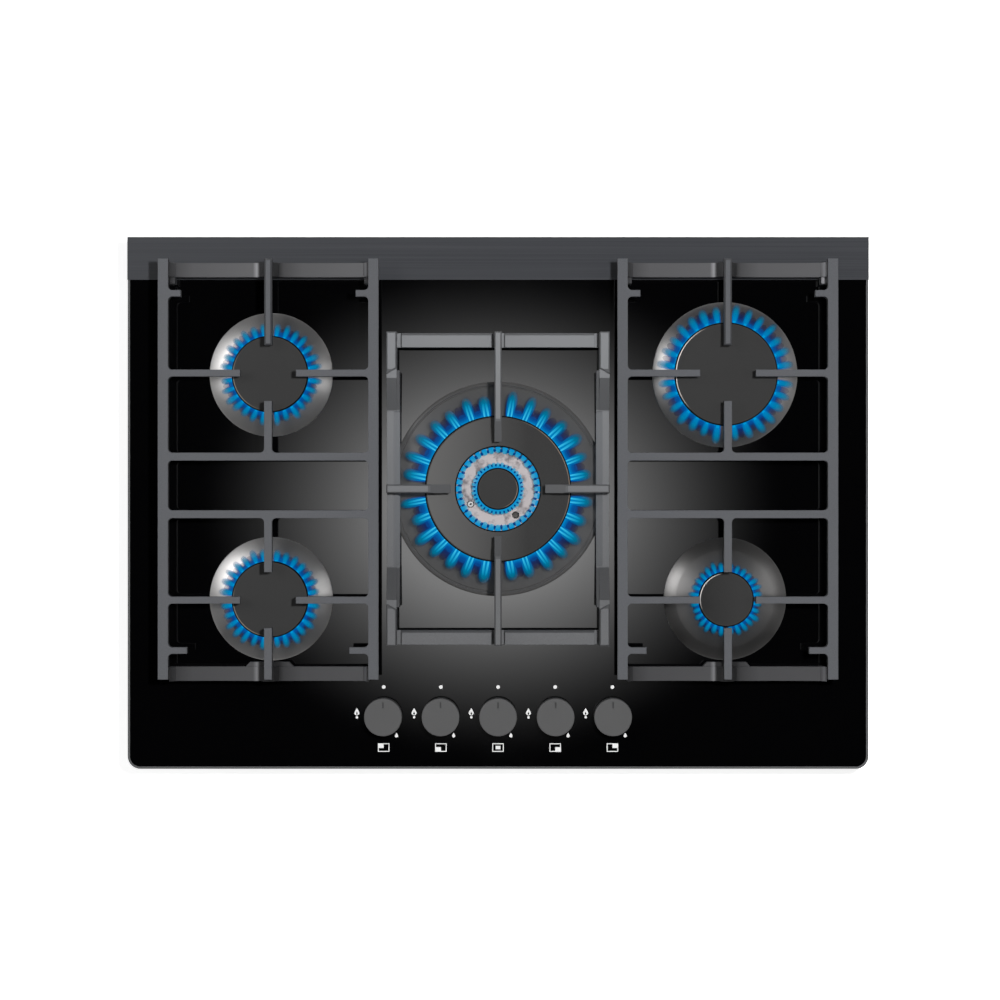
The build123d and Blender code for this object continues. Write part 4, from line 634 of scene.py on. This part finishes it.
def gas(name, root, tip, solid_root, solid_tip):
    """Light without a surface: its colour and how solid it is change along the flame."""
    material, tree, shader = new_finish(name, (0, 0, 0), 1.0, 0.0, Specular_IOR_Level=0.0)
    along = tree.nodes.new("ShaderNodeAttribute")
    along.attribute_name = "along"
    colour = blended(tree, along.outputs["Fac"], root, tip)
    put(tree, colour, shader.inputs["Emission Color"])
    shader.inputs["Emission Strength"].default_value = 1.0
    put(tree, spread(tree, along.outputs["Fac"], solid_root, solid_tip, 0, 1), shader.inputs["Alpha"])
    material.cycles.emission_sampling = "NONE"
    return material


mantle = gas("flame_mantle", (0.0, 0.06, 0.36), (0.0, 0.04, 0.10), 0.34, 0.0)
body = gas("flame_body", (0.0, 0.22, 0.60), (0.0, 0.13, 0.20), 0.88, 0.12)
core = gas("flame_core", (0.0, 0.33, 0.70), (0.0, 0.20, 0.30), 0.90, 0.20)
streak = gas("flame_streak", (0.05, 0.54, 0.84), (0.0, 0.34, 0.58), 0.92, 0.10)
cusp = gas("flame_cusp", (0.0, 0.30, 0.66), (0.0, 0.09, 0.38), 0.92, 0.30)
petal = gas("flame_petal", (0.0, 0.22, 0.62), (0.01, 0.42, 0.66), 0.96, 0.30)
haze = gas("flame_haze", (0.0, 0.05, 0.28), (0.012, 0.004, 0.02), 0.80, 0.12)
gap_blue = gas("flame_gap", (0.0, 0.035, 0.19), (0.0, 0.06, 0.24), 0.90, 0.70)


def maths(tree, operation, *values):
    """The value of a maths node, whose inputs are sockets or numbers."""
    made = tree.nodes.new("ShaderNodeMath")
    made.operation = operation
    for socket, value in zip(made.inputs, values):
        put(tree, value, socket)
    return made.outputs[0]


# how thick a tongue is from its root to its tip, in shares of its width
tongue_swell = ((0.0, 0.66), (0.35, 0.95), (0.68, 1.0), (0.90, 0.70), (1.0, 0.10))
# where it bends, as a share of its length, and how far its streaks draw together at the tip
tongue_bend = 0.6
streak_gather = 0.6


def flame_tree(shells):
    """A node tree that sets runs of tongues round the origin, with a gap after each run. A shell
    is its share of the length and width, its shift sideways and up in widths, and its material."""
    tree = bpy.data.node_groups.new("ring_of_flames", "GeometryNodeTree")
    sockets = (
        ("Count", "NodeSocketInt"),
        ("Radius", "NodeSocketFloat"),
        ("Length", "NodeSocketFloat"),
        ("Lift", "NodeSocketFloat"),
        ("Width", "NodeSocketFloat"),
        ("First Angle", "NodeSocketFloat"),
        ("Pitch", "NodeSocketFloat"),
        ("Run", "NodeSocketInt"),
        ("Gap", "NodeSocketFloat"),
        ("Seed", "NodeSocketInt"),
    )
    for name, kind in sockets:
        tree.interface.new_socket(name, in_out="INPUT", socket_type=kind)
    tree.interface.new_socket("Geometry", in_out="OUTPUT", socket_type="NodeSocketGeometry")
    given = tree.nodes.new("NodeGroupInput").outputs
    output = tree.nodes.new("NodeGroupOutput")
    link = tree.links.new

    def combined(*values):
        made = tree.nodes.new("ShaderNodeCombineXYZ")
        for socket, value in zip(made.inputs, values):
            put(tree, value, socket)
        return made.outputs[0]

    def chance(low, high, step):
        made = tree.nodes.new("FunctionNodeRandomValue")
        made.data_type = "FLOAT"
        made.inputs[2].default_value = low
        made.inputs[3].default_value = high
        link(maths(tree, "ADD", given["Seed"], step), made.inputs["Seed"])
        return made.outputs[1]

    index = tree.nodes.new("GeometryNodeInputIndex").outputs[0]
    steps = maths(tree, "ADD", maths(tree, "MULTIPLY", index, given["Pitch"]), given["First Angle"])
    runs = maths(tree, "FLOOR", maths(tree, "DIVIDE", maths(tree, "ADD", index, 0.5), given["Run"]))
    angle = maths(tree, "ADD", steps, maths(tree, "MULTIPLY", runs, given["Gap"]))
    across = maths(tree, "MULTIPLY", maths(tree, "COSINE", angle), given["Radius"])
    along = maths(tree, "MULTIPLY", maths(tree, "SINE", angle), given["Radius"])
    points = tree.nodes.new("GeometryNodePoints")
    link(given["Count"], points.inputs["Count"])
    link(combined(across, along), points.inputs["Position"])
    turned = tree.nodes.new("FunctionNodeEulerToRotation")
    lean = chance(-0.10, 0.10, 1)
    link(combined(0.0, lean, maths(tree, "ADD", angle, chance(-0.05, 0.05, 2))), turned.inputs[0])
    size = combined(chance(0.82, 1.08, 3), chance(0.88, 1.10, 4), chance(0.88, 1.08, 5))
    joined = tree.nodes.new("GeometryNodeJoinGeometry")
    for length_share, width_share, shift, rise, material in shells:
        line = tree.nodes.new("GeometryNodeCurveQuadraticBezier")
        line.inputs["Resolution"].default_value = 9
        reach = maths(tree, "MULTIPLY", given["Length"], length_share)
        sideways = maths(tree, "MULTIPLY", given["Width"], shift)
        upward_shift = maths(tree, "MULTIPLY", given["Width"], rise)
        link(combined(0.0, sideways, upward_shift), line.inputs["Start"])
        bend = maths(tree, "MULTIPLY", reach, tongue_bend)
        link(combined(bend, sideways, upward_shift), line.inputs["Middle"])
        tip_z = maths(tree, "ADD", maths(tree, "MULTIPLY", given["Lift"], length_share), upward_shift)
        link(combined(reach, maths(tree, "MULTIPLY", sideways, streak_gather), tip_z), line.inputs["End"])
        progress = tree.nodes.new("GeometryNodeSplineParameter").outputs["Factor"]
        swell = tree.nodes.new("ShaderNodeFloatCurve")
        profile = swell.mapping.curves[0]
        profile.points[0].location = tongue_swell[0]
        profile.points[1].location = tongue_swell[-1]
        for share, thickness in tongue_swell[1:-1]:
            profile.points.new(share, thickness)
        link(progress, swell.inputs["Value"])
        half_width = maths(tree, "MULTIPLY", given["Width"], 0.5 * width_share)
        named = tree.nodes.new("GeometryNodeStoreNamedAttribute")
        named.data_type = "FLOAT"
        named.domain = "POINT"
        named.inputs["Name"].default_value = "along"
        link(line.outputs["Curve"], named.inputs["Geometry"])
        link(progress, named.inputs["Value"])
        section = tree.nodes.new("GeometryNodeCurvePrimitiveCircle")
        section.inputs["Resolution"].default_value = 8
        section.inputs["Radius"].default_value = 1.0
        tube = tree.nodes.new("GeometryNodeCurveToMesh")
        link(named.outputs["Geometry"], tube.inputs["Curve"])
        link(section.outputs["Curve"], tube.inputs["Profile Curve"])
        tube.inputs["Fill Caps"].default_value = True
        link(maths(tree, "MULTIPLY", half_width, swell.outputs[0]), tube.inputs["Scale"])
        clothed = tree.nodes.new("GeometryNodeSetMaterial")
        clothed.inputs["Material"].default_value = material
        link(tube.outputs["Mesh"], clothed.inputs["Geometry"])
        link(clothed.outputs["Geometry"], joined.inputs["Geometry"])
    placed = tree.nodes.new("GeometryNodeInstanceOnPoints")
    link(points.outputs[0], placed.inputs["Points"])
    link(joined.outputs[0], placed.inputs["Instance"])
    link(turned.outputs[0], placed.inputs["Rotation"])
    link(size, placed.inputs["Scale"])
    real = tree.nodes.new("GeometryNodeRealizeInstances")
    link(placed.outputs[0], real.inputs[0])
    smooth = tree.nodes.new("GeometryNodeSetShadeSmooth")
    link(real.outputs[0], smooth.inputs[0])
    link(smooth.outputs[0], output.inputs[0])
    return tree


tongues = flame_tree(
    (
        (1.0, 1.0, 0.0, 0.0, mantle),
        (0.93, 0.80, 0.0, 0.0, body),
        (0.82, 0.52, 0.0, 0.15, core),
        (0.66, 0.15, 0.15, 0.42, streak),
        (0.66, 0.15, -0.15, 0.42, streak),
    )
)
small_tongues = flame_tree(
    ((1.0, 1.0, 0.0, 0.0, mantle), (0.93, 0.80, 0.0, 0.0, body), (0.80, 0.50, 0.0, 0.2, core))
)
petals = flame_tree(((1.0, 1.0, 0.0, 0.0, petal),))
gaps = flame_tree(((1.0, 1.0, 0.0, 0.0, gap_blue),))
low_tongues = flame_tree(((1.0, 1.0, 0.0, 0.0, haze),))
cusps = flame_tree(((1.0, 1.0, 0.0, 0.0, cusp),))


def flame_ring(tree, centre, root_z, values):
    """The mesh of one ring of flames about a centre; values are the tree's inputs by name."""
    holder = add("flames", bpy.data.meshes.new("flames"))
    modifier = holder.modifiers.new("flames", "NODES")
    modifier.node_group = tree
    for item in tree.interface.items_tree:
        if item.in_out == "INPUT" and item.name in values:
            modifier[item.identifier] = values[item.name]
    bpy.context.view_layer.update()
    evaluated = holder.evaluated_get(bpy.context.evaluated_depsgraph_get())
    mesh = bpy.data.meshes.new_from_object(evaluated)
    holder.modifiers.remove(modifier)
    bpy.data.objects.remove(holder)
    mesh.transform(Matrix.Translation((centre.x, centre.y, root_z)))
    return mesh


def flames(place, centre, rings):
    """Every ring of flames of one burner, joined to one piece that rides on its crown."""
    meshes = [flame_ring(tree, centre, root_z, values) for tree, root_z, values in rings]
    pieces = [add(f"flames_{place}", mesh) for mesh in meshes]
    with bpy.context.temp_override(active_object=pieces[0], selected_editable_objects=pieces):
        bpy.ops.object.join()
    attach(pieces[0], f"crown_{place}")


slot_drop = 0.0025
root_gap = 0.0004
flame_lift = 0.0085
pitch = math.radians(12)
in_quarters = {"Count": 28, "First Angle": pitch * 0.75, "Pitch": pitch, "Run": 7, "Gap": pitch * 0.5}
between = {"Count": 24, "First Angle": pitch * 1.25, "Run": 6, "Gap": pitch * 1.5}
# shares of a tongue's length, width and lift, for the haze and the cusps between the tongues
haze_shares = (0.74, 0.72, 0.4)
cusp_shares = (0.30, 0.85, 0.3)
# length, width and seed
burner_flames = {
    "rear_left": (0.0142, 0.0070, 11),
    "front_left": (0.0142, 0.0070, 12),
    "rear_right": (0.0182, 0.0086, 13),
    "front_right": (0.0108, 0.0060, 14),
}
for place, (length, width, seed) in burner_flames.items():
    _, high, centre, outer = round_box(f"burner_crown_{place}")
    root_z = high.z - slot_drop
    tall = dict(in_quarters, Radius=outer + root_gap, Length=length, Lift=flame_lift, Width=width, Seed=seed)
    rings = [(small_tongues, root_z, tall)]
    for tree, shares, new_seed in ((low_tongues, haze_shares, seed + 20), (cusps, cusp_shares, seed + 40)):
        small = [value * share for value, share in zip((length, width, flame_lift), shares)]
        sizes = {"Length": small[0], "Width": small[1], "Lift": small[2], "Seed": new_seed}
        rings.append((tree, root_z, {**tall, **between, **sizes}))
    flames(place, centre, rings)

_, high, _, wok_outer = round_box("burner_crown_centre")
wok_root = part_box("burner_cap_centre_outer")[1].z - cap_sheet - slot_drop
hub_root = high.z - slot_drop
outer_ring = dict(in_quarters, Radius=wok_outer + root_gap, Length=0.0250, Lift=0.0095, Width=0.0118, Seed=5)
haze_ring = dict({**outer_ring, **between}, Length=0.0175, Width=0.0086, Lift=0.0040, Seed=6)
cusp_ring = dict(haze_ring, Length=0.0082, Width=0.0104, Lift=0.0025, Seed=9)
dish_pitch = math.tau / 36
all_round = {"Count": 36, "First Angle": 0.0, "Pitch": dish_pitch, "Run": 36, "Gap": 0.0}
inward_ring = dict(all_round, Radius=0.0002 - dish_outer, Length=0.0070, Lift=0.0020, Width=0.0056, Seed=7)
hub_ring = dict(inward_ring, Radius=dish_inner + 0.0002, Length=0.0064, Width=0.0041, Seed=8)
# short deep blue tongues in the gaps, a little above the petals
gap_rise = 0.0034
inward_gaps = dict(inward_ring, Radius=-0.0376, Length=0.0036, Width=0.0024, Lift=0.0004, Seed=17)
hub_gaps = dict(hub_ring, Radius=0.0212, Length=0.0026, Width=0.0017, Lift=0.0004, Seed=18)
for gap_ring in (inward_gaps, hub_gaps):
    gap_ring["First Angle"] = dish_pitch / 2
wok_rings = (
    (tongues, wok_root, outer_ring),
    (low_tongues, wok_root, haze_ring),
    (cusps, wok_root, cusp_ring),
    (petals, wok_root, inward_ring),
    (gaps, wok_root + gap_rise, inward_gaps),
    (petals, hub_root, hub_ring),
    (gaps, hub_root + gap_rise, hub_gaps),
)
flames("centre", wok_centre, wok_rings)

# -------------------------------------------------------------------------------- knobs
# Moulded caps on the tap spindles, satin grey, with a flat top and a short dark mark at
# the rear edge.
knob_plastic, tree, shader = new_finish("knob_plastic", (0.09, 0.09, 0.09), 0.5, 0.0)
shader.inputs["Specular IOR Level"].default_value = 0.25
grain = noise(tree, place_in(tree), 2200, 3)
cloud = noise(tree, place_in(tree), 60, 2)
tone = two_tones(tree, grain, (0.076, 0.076, 0.077), (0.096, 0.096, 0.097))
tone = blended(tree, spread(tree, cloud, 0, 0.3), tone, (0.080, 0.080, 0.081))
dress(tree, shader, tone, grain, (0.42, 0.56), (0.25, 0.00008))
coat_node(knob_plastic, *[f"knob_{number}" for number in tap_numbers])

mark_length = 0.0055
mark_width = 0.0014
mark_inset = 0.00365
mark_depth = 0.0003
mark_drop = 0.00008
# a dark piece fills the groove of the mark
mark_fill = grained("mark_fill", 0.6, 0.0, 2500, (0.022, 0.022, 0.023), (0.042, 0.042, 0.043), detail=2)
for number in tap_numbers:
    low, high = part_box(f"knob_{number}")
    shape = bmesh.new()
    bmesh.ops.create_cube(shape, size=1.0)
    middle_y = high.y - mark_inset - mark_length / 2
    middle = Vector(((low.x + high.x) / 2, middle_y, high.z - mark_drop - mark_depth / 2))
    place = Matrix.Translation(middle) @ Matrix.Diagonal((mark_width, mark_length, mark_depth, 1))
    bmesh.ops.transform(shape, matrix=place, verts=shape.verts)
    mesh = bpy.data.meshes.new(f"mark_{number}")
    shape.to_mesh(mesh)
    shape.free()
    mesh.materials.append(mark_fill)
    mark = add(f"mark_{number}", mesh)
    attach(mark, f"knob_{number}")

# --------------------------------------------------------------------------- pan supports
# Cast iron under matt grey enamel, on small rubber feet. The castings keep a fine grain,
# and their edges are softened by the enamel.
low_iron_z = 0.0900
high_iron_z = 0.0960
slope_floor = 0.0804


def enamelled_iron(name, dark, light, rail_light_and_shade=None, rear_painted_light=None):
    """Matt grey enamel on cast iron, with painted shade on slopes, and painted light and shade on low rails
    by their tones, which are (place, brightness) along each bay, lighter towards the rear. It may be lighter
    towards the rear all over, as painted light."""
    material, tree, shader = new_finish(name, light, 0.5, 0.0, Specular_IOR_Level=0.25)
    grain = noise(tree, place_in(tree), 900, 5)
    lumps = noise(tree, place_in(tree), 70, 3)
    tone = two_tones(tree, grain, dark, light)
    middle = tuple((a + b) / 2 for a, b in zip(dark, light))
    tone = blended(tree, spread(tree, lumps, 0, 0.4), tone, middle)
    place = tree.nodes.new("ShaderNodeSeparateXYZ")
    put(tree, place_in(tree), place.inputs[0])
    # painted light: the tone grows lighter towards the rear
    if rear_painted_light:
        tone = blended(tree, spread(tree, place.outputs["Y"], 0, 0.9, -0.06, 0.15), tone, rear_painted_light)
    # painted shade: steep faces above the slope floor are darkened
    slope_shade = spread(tree, upward(tree), 0.55, 0, 0.986, 0.998)
    above = spread(tree, place.outputs["Z"], 0, 1, slope_floor, slope_floor + 0.0004)
    tone = blended(tree, maths(tree, "MULTIPLY", slope_shade, above), tone, (0.012, 0.012, 0.013))
    # painted light and shade: each bay of the low rails runs through its tones, lighter towards the rear
    if rail_light_and_shade:
        start, pitch, stops = rail_light_and_shade
        bay = maths(tree, "WRAP", place.outputs["X"], start + pitch, start)
        ramp = tree.nodes.new("ShaderNodeValToRGB")
        for _ in stops[2:]:
            ramp.color_ramp.elements.new(0.5)
        for element, (where, level) in zip(ramp.color_ramp.elements, stops):
            element.position = where
            element.color = (level, level, level * 1.05, 1)
        put(tree, spread(tree, bay, 0, 1, start, start + pitch), ramp.inputs["Fac"])
        rear_lit_rails = tree.nodes.new("ShaderNodeMix")
        rear_lit_rails.data_type = "RGBA"
        rear_lit_rails.blend_type = "MULTIPLY"
        rear_lit_rails.inputs["Factor"].default_value = 1.0
        put(tree, ramp.outputs["Color"], rear_lit_rails.inputs[6])
        put(tree, spread(tree, place.outputs["Y"], 1.0, 1.5, -0.1, 0.1), rear_lit_rails.inputs[7])
        low_part = spread(tree, place.outputs["Z"], 1, 0, low_iron_z, high_iron_z)
        tone = blended(tree, low_part, tone, rear_lit_rails.outputs[2])
    bump = dress(tree, shader, tone, grain, (0.42, 0.56), (0.3, 0.0002))
    softened = tree.nodes.new("ShaderNodeBevel")
    softened.samples = 4
    softened.inputs["Radius"].default_value = 0.0009
    put(tree, softened.outputs["Normal"], bump.inputs["Normal"])
    return material


# painted light and shade along a bay of a rail: dark by the bar, plain, then a painted highlight line and a
# dark line at the next bar
bay_light_and_shade = (
    (0.0, 0.012),
    (0.09, 0.016),
    (0.13, 0.034),
    (0.30, 0.054),
    (0.85, 0.058),
    (0.885, 0.16),
    (0.905, 0.02),
)
for place in ("left", "right"):
    low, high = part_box(f"pan_support_{place}")
    bays = (low.x, (high.x - low.x) / 2, bay_light_and_shade)
    iron = enamelled_iron(f"enamelled_iron_{place}", (0.074, 0.077, 0.084), (0.102, 0.105, 0.114), bays)
    coat_node(iron, f"pan_support_{place}")
# painted light: the centre support's enamel is drawn lighter than the side supports', and paler still
# towards the rear
painted_light_tone = (0.200, 0.205, 0.214)
iron = enamelled_iron("enamelled_iron_centre", (0.100, 0.102, 0.106), (0.134, 0.136, 0.142), None, painted_light_tone)
coat_node(iron, "pan_support_centre")

rubber_tones = (0.012, 0.012, 0.012), (0.03, 0.03, 0.03)
rubber = grained("foot_rubber", 0.8, 0.0, 1500, *rubber_tones, bump=(0.3, 0.0001))
coat_node(rubber, "support_feet_left", "support_feet_centre", "support_feet_right")

# -------------------------------------------------------------------------------- studio
# A white floor under the casing and white all round, a small key lamp high up at the rear
# right, lamps for the sides and for the rings' shine, and a dark screen overhead that only
# reflections see, with a pale oval that the glass mirrors.
floor_half = 6.0
floor_gap = 0.0002
near_white = 0.8
shade_reach = (0.8, 2.2)
sky_light = 0.09


def plate(name, half, z, order):
    """A level square about the origin; the order of its corners says which way it faces."""
    mesh = bpy.data.meshes.new(name)
    corners = [(x * half, y * half, z) for x, y in ((-1, -1), (1, -1), (1, 1), (-1, 1))]
    mesh.from_pydata(corners, [], [order])
    return add(name, mesh)


def looked_at(tree):
    """One for a ray from the camera, off a mirror or through the gas, and nothing for light."""
    path = tree.nodes.new("ShaderNodeLightPath")
    seen = maths(tree, "MAXIMUM", path.outputs["Is Camera Ray"], path.outputs["Is Glossy Ray"])
    return maths(tree, "MAXIMUM", seen, path.outputs["Is Transmission Ray"])


floor = plate("floor", floor_half, -floor_gap, (0, 1, 2, 3))
floor_paint, tree, shader = new_finish("floor_paint", (0.8, 0.8, 0.8), 0.9)
shader.inputs["Emission Color"].default_value = (1, 1, 1, 1)
whiteness = spread(tree, distance(tree, stretch=(1, 1, 1)), near_white, 1.0, *shade_reach)
put(tree, maths(tree, "MULTIPLY", looked_at(tree), whiteness), shader.inputs["Emission Strength"])
# from below the floor is clear, so that the casing's underside can be seen
side = tree.nodes.new("ShaderNodeNewGeometry")
clear = tree.nodes.new("ShaderNodeBsdfTransparent")
either = tree.nodes.new("ShaderNodeMixShader")
put(tree, side.outputs["Backfacing"], either.inputs[0])
put(tree, shader.outputs[0], either.inputs[1])
put(tree, clear.outputs[0], either.inputs[2])
put(tree, either.outputs[0], tree.nodes["Material Output"].inputs["Surface"])
floor.data.materials.append(floor_paint)

world = bpy.data.worlds.new("studio")
scene.world = world
world.use_nodes = True
tree = world.node_tree
background = tree.nodes["Background"]
background.inputs["Color"].default_value = (1, 1, 1, 1)
put(tree, spread(tree, looked_at(tree), sky_light, 1.0, 0, 1), background.inputs["Strength"])

screen_height = 3.2
screen_half = 9.0
oval_on_glass = (-0.0075, -0.0065)
oval_half_on_glass = (0.280, 0.241)
oval_peak = 0.70
oval_falloff = 2.2
oval_most = 0.185
oval_strength = 25.0
mirror_scale = 1 + screen_height / view_distance
oval_centre = [
    (on_glass - view) * mirror_scale + view
    for on_glass, view in zip(oval_on_glass, (view_across, view_along))
]
screen = plate("screen", screen_half, glass_z + screen_height, (3, 2, 1, 0))
screen.visible_camera = False
screen.visible_diffuse = False
screen.visible_shadow = False
screen.visible_transmission = False
screen_light = bpy.data.materials.new("screen_light")
screen_light.use_nodes = True
tree = screen_light.node_tree
tree.nodes.clear()
glow = tree.nodes.new("ShaderNodeEmission")
result = tree.nodes.new("ShaderNodeOutputMaterial")
put(tree, glow.outputs[0], result.inputs["Surface"])
oval_stretch = (*[1 / (half * mirror_scale) for half in oval_half_on_glass], 0)
reach = distance(tree, (*oval_centre, 0), oval_stretch)
fading = maths(tree, "POWER", spread(tree, reach, oval_peak, 0.0, 0.0, 1.0), oval_falloff)
held = maths(tree, "MINIMUM", fading, oval_most)
put(tree, maths(tree, "MULTIPLY", held, oval_strength), glow.inputs["Strength"])
screen_light.cycles.emission_sampling = "NONE"
screen.data.materials.append(screen_light)

# name, place, size, watts, and the rays that don't see it: the rings mirror the two shine
# lamps, and the glass mirrors plain white instead of the other lamps
lamps = (
    ("key_lamp", (0.38, 0.22, 2.4), 0.12, 57, "visible_glossy"),
    ("ring_shine", (-1.3, 0.45, 2.3), 0.8, 27, "visible_diffuse"),
    ("ring_shine_right", (1.3, 0.15, 2.3), 0.8, 7, "visible_diffuse"),
    ("left_lamp", (-2.2, 0.3, 0.9), 0.9, 8, "visible_glossy"),
    ("rear_lamp", (-0.3, 2.2, 0.8), 0.9, 5, "visible_glossy"),
    ("front_lamp", (0.4, -2.2, 1.2), 1.2, 4, "visible_glossy"),
)
lamp_aim = Vector((0, 0, 0.06))
for name, place, size, watts, unseen_by in lamps:
    lamp = bpy.data.lights.new(name, "AREA")
    lamp.shape = "SQUARE"
    lamp.size = size
    lamp.energy = watts
    box = add(name, lamp)
    box.location = place
    box.rotation_euler = (Vector(place) - lamp_aim).to_track_quat("Z", "Y").to_euler()
    setattr(box, unseen_by, False)

scene.view_settings.view_transform = "Standard"
